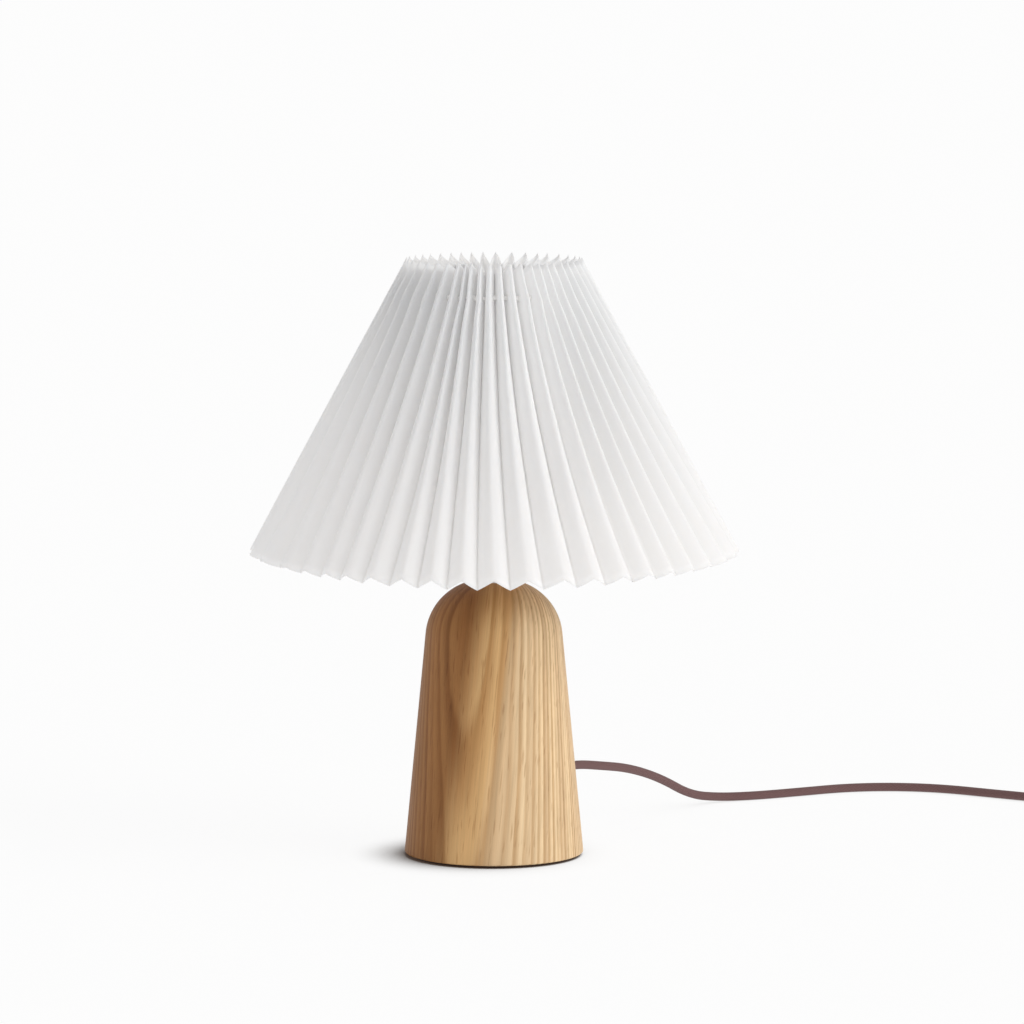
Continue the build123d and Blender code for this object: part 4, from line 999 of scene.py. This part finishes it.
# Points of the cord's route in millimetres, the same as in the part's source.
RUN_POINTS = (
    (50.94, 72.75, 44.0),
    (66.5, 95.0, 39.6),
    (86.0, 122.8, 33.6),
    (106.5, 151.5, 22.6),
    (126.5, 177.5, 7.4),
    (145.5, 195.0, 3.0),
    (170.0, 202.5, 2.75),
    (200.0, 218.0, 2.75),
    (230.0, 234.5, 2.75),
    (262.0, 239.0, 2.75),
    (294.0, 231.5, 2.75),
    (325.0, 211.0, 2.75),
    (354.0, 193.0, 2.75),
    (379.0, 171.0, 3.2),
    (396.0, 145.0, 9.0),
    (396.0, 120.6, 9.0),
    (396.0, 63.4, 9.0),
    (396.0, 53.3, 9.0),
    (396.8, 41.4, 6.45),
    (396.0, 30.0, 4.15),
)
END_POINTS = (
    (477.0, 31.8, 10.15),
    (478.5, 48.3, 8.25),
    (477.0, 66.1, 6.85),
    (477.0, 90.0, 6.85),
)
COIL_CENTRE = (436.5, 14.0)
COIL_REACH = 40.5  # radius where the cord comes in
COIL_PITCH = 6.0
COIL_LEVEL = 4.15
LAYER_HALF_TURNS = 5
POINTS_PER_HALF_TURN = 7
ROUTE_ORDER = 3
ROUTE_RESOLUTION = 12
PATH_STEP = 2.2 * MM
SLEEVE_ROUNDNESS = 6


def coil_points():
    """Control points of the coil: in a spiral inwards, up, and outwards again on top."""
    half_turns = 2 * LAYER_HALF_TURNS + 1
    inner = COIL_REACH - COIL_PITCH / 2 * LAYER_HALF_TURNS
    outside = 1 / math.cos(math.pi / POINTS_PER_HALF_TURN / 2)
    points = []
    for number in range(half_turns * POINTS_PER_HALF_TURN):
        turn = (number + 0.5) / POINTS_PER_HALF_TURN
        inwards = max(0.0, LAYER_HALF_TURNS - turn)
        outwards = max(0.0, turn - LAYER_HALF_TURNS - 1)
        climb = min(1.0, max(0.0, turn - LAYER_HALF_TURNS))
        radius = (inner + COIL_PITCH / 2 * (inwards + outwards)) * outside
        angle = math.pi * (1 + turn)
        x = COIL_CENTRE[0] + radius * math.cos(angle)
        y = COIL_CENTRE[1] + radius * math.sin(angle)
        points.append((x, y, COIL_LEVEL + COIL_PITCH * climb))
    return points


def smooth_route(points):
    """The points that a NURBS spline follows between its control points."""
    line = curve_mesh("route", points, "NURBS", ROUTE_ORDER, resolution_u=ROUTE_RESOLUTION)
    spots = [vert.co.copy() for vert in line.vertices]
    bpy.data.meshes.remove(line)
    return spots


def even_steps(spots, step):
    """The same line in equal steps, and its length."""
    reach = [0.0]
    for a, b in zip(spots, spots[1:]):
        reach.append(reach[-1] + (b - a).length)
    count = round(reach[-1] / step)
    found = []
    place = 0
    for number in range(count + 1):
        wanted = reach[-1] * number / count
        while place < len(spots) - 2 and reach[place + 1] < wanted:
            place += 1
        span = reach[place + 1] - reach[place]
        found.append(spots[place].lerp(spots[place + 1], (wanted - reach[place]) / span))
    return found, reach[-1]


def make_cord(settings):
    """The textile cord: one tube along the route's own spline, from the foot to the plug."""
    exit_at = Vector((EXIT_R * math.cos(EXIT_AZIMUTH), EXIT_R * math.sin(EXIT_AZIMUTH), EXIT_Z))
    route = [exit_at, *RUN_POINTS, *coil_points(), *END_POINTS]
    spots = smooth_route([tuple(part * MM for part in point) for point in route])
    path, length = even_steps(spots, PATH_STEP)
    mesh = curve_mesh(
        "textile_cord",
        path,
        "POLY",
        bevel_depth=settings.diameter / 2,
        bevel_resolution=SLEEVE_ROUNDNESS,
        use_fill_caps=True,
        twist_mode="MINIMUM",
    )
    material = cord_material(settings, length)
    cord = finish_piece("textile_cord", mesh, "base", material)
    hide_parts("cord_run", "cord_lead", "cord_coil", "cord_end")


# ---------------- stage

CAMERA_AT = (0.0, -3.5193, 0.6131)
CAMERA_DOWN = math.radians(6.065)
CAMERA_LENS = 203.66
CAMERA_SENSOR = 36.0
CAMERA_SHIFT = (0.01758, -0.04411)
KEY_SPREAD = math.radians(38)
KEY_TILT = math.radians(62)
KEY_TURN = math.radians(64)
KEY_COLOUR = (1.0, 0.985, 0.965)
SKY_COLOUR = (1.0, 0.993, 0.996)
FLOOR_HALF = 40.0
FLOOR_SINK = 0.1 * MM
FLOOR_GREY = (0.10, 0.10, 0.10)
FLOOR_OPEN = (1.0, 1.0, 1.0)
FLOOR_CLOSED = (0.05, 0.03, 0.02)
# The contact shadow is sampled towards the light, not straight up.
SHADOW_TOWARDS = (0.50, -0.06, 0.86)
SHADOW_SAMPLES = 12
# The shadow is strong up to the first distance from the lamp's axis, where the foot stands, and
# weak past the second, where only the thin cord lies.
SHADOW_REACHES = (90 * MM, 150 * MM)
FOOT_SHADOW = 2.8
CORD_SHADOW = 0.35


def add_camera(scene):
    """The camera of the photograph."""
    lens = bpy.data.cameras.new("camera")
    lens.lens = CAMERA_LENS
    lens.sensor_width = CAMERA_SENSOR
    lens.shift_x, lens.shift_y = CAMERA_SHIFT
    camera = add_object("camera", lens)
    camera.location = CAMERA_AT
    camera.rotation_euler = (math.pi / 2 - CAMERA_DOWN, 0.0, 0.0)
    scene.camera = camera


def add_light(scene, settings):
    """A broad key light from the front right, and an even fill that the camera sees as white."""
    key = bpy.data.lights.new("key", "SUN")
    key.energy = settings.key
    key.angle = KEY_SPREAD
    key.color = KEY_COLOUR
    add_object("key", key).rotation_euler = (KEY_TILT, 0.0, KEY_TURN)
    scene.world = bpy.data.worlds.new("studio")
    scene.world.use_nodes = True
    tree = scene.world.node_tree
    seen = node(tree, "ShaderNodeLightPath").outputs["Is Camera Ray"]
    strength = maths(tree, "MULTIPLY_ADD", seen, 1.0 - settings.fill, settings.fill)
    fill(tree, tree.nodes["Background"], {"Color": opaque(SKY_COLOUR), "Strength": strength})


def floor_material(settings):
    """Evenly bright floor with a soft contact shadow."""
    made, tree, shader = blank_material("Pale Floor")
    towards = node(tree, "ShaderNodeCombineXYZ", dict(enumerate(SHADOW_TOWARDS))).outputs[0]
    nearby = node(
        tree,
        "ShaderNodeAmbientOcclusion",
        {"Distance": settings.floor_shade, "Normal": towards},
        samples=SHADOW_SAMPLES,
    ).outputs["AO"]
    closed = maths(tree, "POWER", maths(tree, "SUBTRACT", 1.0, nearby), 2.0)
    spot = node(tree, "ShaderNodeTexCoord").outputs["Object"]
    reach = node(tree, "ShaderNodeVectorMath", {0: spot}, operation="LENGTH").outputs["Value"]
    weight = ranged(tree, reach, *SHADOW_REACHES, to_low=FOOT_SHADOW, to_high=CORD_SHADOW)
    share = maths(tree, "MULTIPLY", closed, weight)
    results = {
        "Base Color": opaque(FLOOR_GREY),
        "Roughness": 0.9,
        "Specular IOR Level": 0.0,
        "Emission Color": blended(tree, share, opaque(FLOOR_OPEN), opaque(FLOOR_CLOSED)),
        "Emission Strength": settings.floor_glow,
    }
    fill(tree, shader, results)
    return made


def add_floor(settings):
    """A wide pale floor, a hair below the lamp."""
    bm = bmesh.new()
    bmesh.ops.create_grid(bm, x_segments=1, y_segments=1, size=FLOOR_HALF)
    bmesh.ops.translate(bm, verts=bm.verts, vec=(0, 0, -FLOOR_SINK))
    mesh = mesh_of("floor", bm)
    mesh.materials.append(floor_material(settings))
    add_object("floor", mesh)


# ---------------- operators


class LAMP_OT_stage(bpy.types.Operator):
    """Set the camera, the soft light and the pale floor"""

    bl_idname = "lamp.stage"
    bl_label = "Stage"

    def execute(self, context):
        scene = context.scene
        scene.view_settings.view_transform = "Standard"
        add_camera(scene)
        add_light(scene, scene.lamp_stage)
        add_floor(scene.lamp_stage)
        return {"FINISHED"}


class LAMP_OT_foot(bpy.types.Operator):
    """Dress the turned foot, its pad and the pieces inside it"""

    bl_idname = "lamp.foot"
    bl_label = "Foot"

    def execute(self, context):
        dress(wood_material(context.scene.lamp_foot), "wood_base")
        felt = mottled(
            "Dark Felt", colour=(0.060, 0.028, 0.018), darker=(0.035, 0.018, 0.012), rough=(0.92, 1.0),
            scale=420.0, grain=1900.0, bump=0.6, depth=0.3 * MM, extra={"Sheen Weight": 0.3},
        )
        dress(felt, "felt_pad")
        dress(zinc_steel(), "base_plate", "plate_screws", "stop_screws", "tube_nut", "tube_washer")
        dress(brass(), "lamp_tube")
        dress(white_plastic(context.scene.lamp_fittings.white), "cord_stop")
        return {"FINISHED"}


class LAMP_OT_holder(bpy.types.Operator):
    """Dress the lampholder, its contacts and its ring"""

    bl_idname = "lamp.holder"
    bl_label = "Holder"

    def execute(self, context):
        plastic = white_plastic(context.scene.lamp_fittings.white)
        dress(plastic, "holder_cap", "holder_shell", "shade_ring", "seat_washer")
        dress(ceramic(), "holder_insert")
        dress(brass(), "terminal_screws", "centre_contact", "side_contact")
        insulation = mottled(
            "Wire Insulation", colour=(0.10, 0.16, 0.42), darker=(0.08, 0.13, 0.36), rough=(0.4, 0.5),
            scale=90.0,
        )
        dress(insulation, "core_wires")
        return {"FINISHED"}


class LAMP_OT_carrier(bpy.types.Operator):
    """Dress the wire carrier of the shade"""

    bl_idname = "lamp.carrier"
    bl_label = "Wire carrier"

    def execute(self, context):
        white = context.scene.lamp_fittings.white
        paint = mottled(
            "White Wire", colour=scaled(white, 1.03), darker=scaled(white, 0.92), rough=(0.38, 0.52),
            scale=110.0, grain=900.0, bump=0.12,
        )
        dress(paint, "carrier_gallery", "carrier_ring", "carrier_arms")
        return {"FINISHED"}


class LAMP_OT_bulb(bpy.types.Operator):
    """Dress the opal bulb"""

    bl_idname = "lamp.bulb"
    bl_label = "Bulb"

    def execute(self, context):
        opal = mottled(
            "Opal Glass", colour=(0.87, 0.86, 0.84), darker=(0.84, 0.83, 0.81), rough=(0.10, 0.16),
            scale=40.0, grain=600.0, bump=0.01, extra={"Coat Weight": 0.5, "Coat Roughness": 0.06},
        )
        dress(opal, "bulb_globe")
        nickel = mottled(
            "Nickel Cap", colour=(0.70, 0.68, 0.64), darker=(0.58, 0.56, 0.52), rough=(0.20, 0.34),
            scale=150.0, bump=0.05, extra=METAL,
        )
        dress(nickel, "bulb_cap")
        vitrite = mottled(
            "Black Vitrite", colour=(0.012, 0.012, 0.014), darker=(0.02, 0.02, 0.022),
            rough=(0.12, 0.25), scale=80.0,
        )
        dress(vitrite, "bulb_insulator")
        dress(brass(), "bulb_contact")
        return {"FINISHED"}


class LAMP_OT_shade(bpy.types.Operator):
    """Fold the paper shade and thread it"""

    bl_idname = "lamp.shade"
    bl_label = "Pleated shade"

    def execute(self, context):
        settings = context.scene.lamp_shade
        make_thread(settings, make_shade(settings))
        return {"FINISHED"}


class LAMP_OT_cord(bpy.types.Operator):
    """Lay the textile cord along its route, and dress its inner end and its strap"""

    bl_idname = "lamp.cord"
    bl_label = "Textile cord"

    def execute(self, context):
        settings = context.scene.lamp_cord
        make_cord(settings)
        inner = mottled(
            "Inner Cord", colour=settings.yarn, darker=scaled(settings.yarn, 0.8), rough=(0.7, 0.85),
            scale=900.0, grain=2200.0, bump=0.4,
        )
        dress(inner, "inner_cord")
        strap = mottled(
            "Coil Strap", colour=(0.03, 0.026, 0.025), darker=(0.045, 0.04, 0.038), rough=(0.85, 0.95),
            scale=700.0, grain=2000.0, bump=0.5,
        )
        dress(strap, "coil_tie")
        return {"FINISHED"}


class LAMP_OT_switch(bpy.types.Operator):
    """Dress the in-line switch, the plug and the cord guard"""

    bl_idname = "lamp.switch"
    bl_label = "Switch and plug"

    def execute(self, context):
        dark = context.scene.lamp_fittings.dark
        plastic = mottled(
            "Dark Plastic", colour=dark, darker=scaled(dark, 0.8), rough=(0.34, 0.50), scale=90.0,
            grain=1700.0, bump=0.10,
        )
        dress(plastic, "switch_base", "switch_cover", "switch_rocker")
        dress(plastic, "plug_body", "pin_sleeves", "cord_bush")
        dress(zinc_steel(), "switch_screws", "rocker_pin")
        dress(brass(), "terminal_blocks", "switch_contacts")
        dress(ceramic(), "rocker_cradle")
        nickel = mottled(
            "Nickel Pins", colour=(0.68, 0.67, 0.65), darker=(0.58, 0.57, 0.55), rough=(0.18, 0.30),
            scale=150.0, bump=0.05, extra=METAL,
        )
        dress(nickel, "plug_pins")
        return {"FINISHED"}


class LAMP_PT_pieces(bpy.types.Panel):
    """Pieces and settings of the lamp"""

    bl_idname = "LAMP_PT_pieces"
    bl_label = "Pleated Table Lamp"
    bl_space_type = "VIEW_3D"
    bl_region_type = "UI"
    bl_category = "Lamp"

    def draw(self, context):
        layout = self.layout
        for operator in OPERATORS:
            layout.operator(operator.bl_idname)
        for name in SETTINGS:
            group = getattr(context.scene, name)
            box = layout.box()
            for key in group.bl_rna.properties.keys():
                if key not in ("rna_type", "name"):
                    box.prop(group, key)


SETTINGS = {
    "lamp_foot": LampFootSettings,
    "lamp_shade": LampShadeSettings,
    "lamp_cord": LampCordSettings,
    "lamp_fittings": LampFittingSettings,
    "lamp_stage": LampStageSettings,
}
OPERATORS = (
    LAMP_OT_stage,
    LAMP_OT_cord,
    LAMP_OT_foot,
    LAMP_OT_holder,
    LAMP_OT_carrier,
    LAMP_OT_bulb,
    LAMP_OT_shade,
    LAMP_OT_switch,
)
CLASSES = (*SETTINGS.values(), *OPERATORS, LAMP_PT_pieces)


def register():
    for made in CLASSES:
        bpy.utils.register_class(made)
    for name, group in SETTINGS.items():
        setattr(bpy.types.Scene, name, bpy.props.PointerProperty(type=group))


def unregister():
    for name in SETTINGS:
        delattr(bpy.types.Scene, name)
    for made in reversed(CLASSES):
        bpy.utils.unregister_class(made)


def main():
    register()
    for operator in OPERATORS:
        category, name = operator.bl_idname.split(".")
        getattr(getattr(bpy.ops, category), name)()


if __name__ == "__main__":
    main()
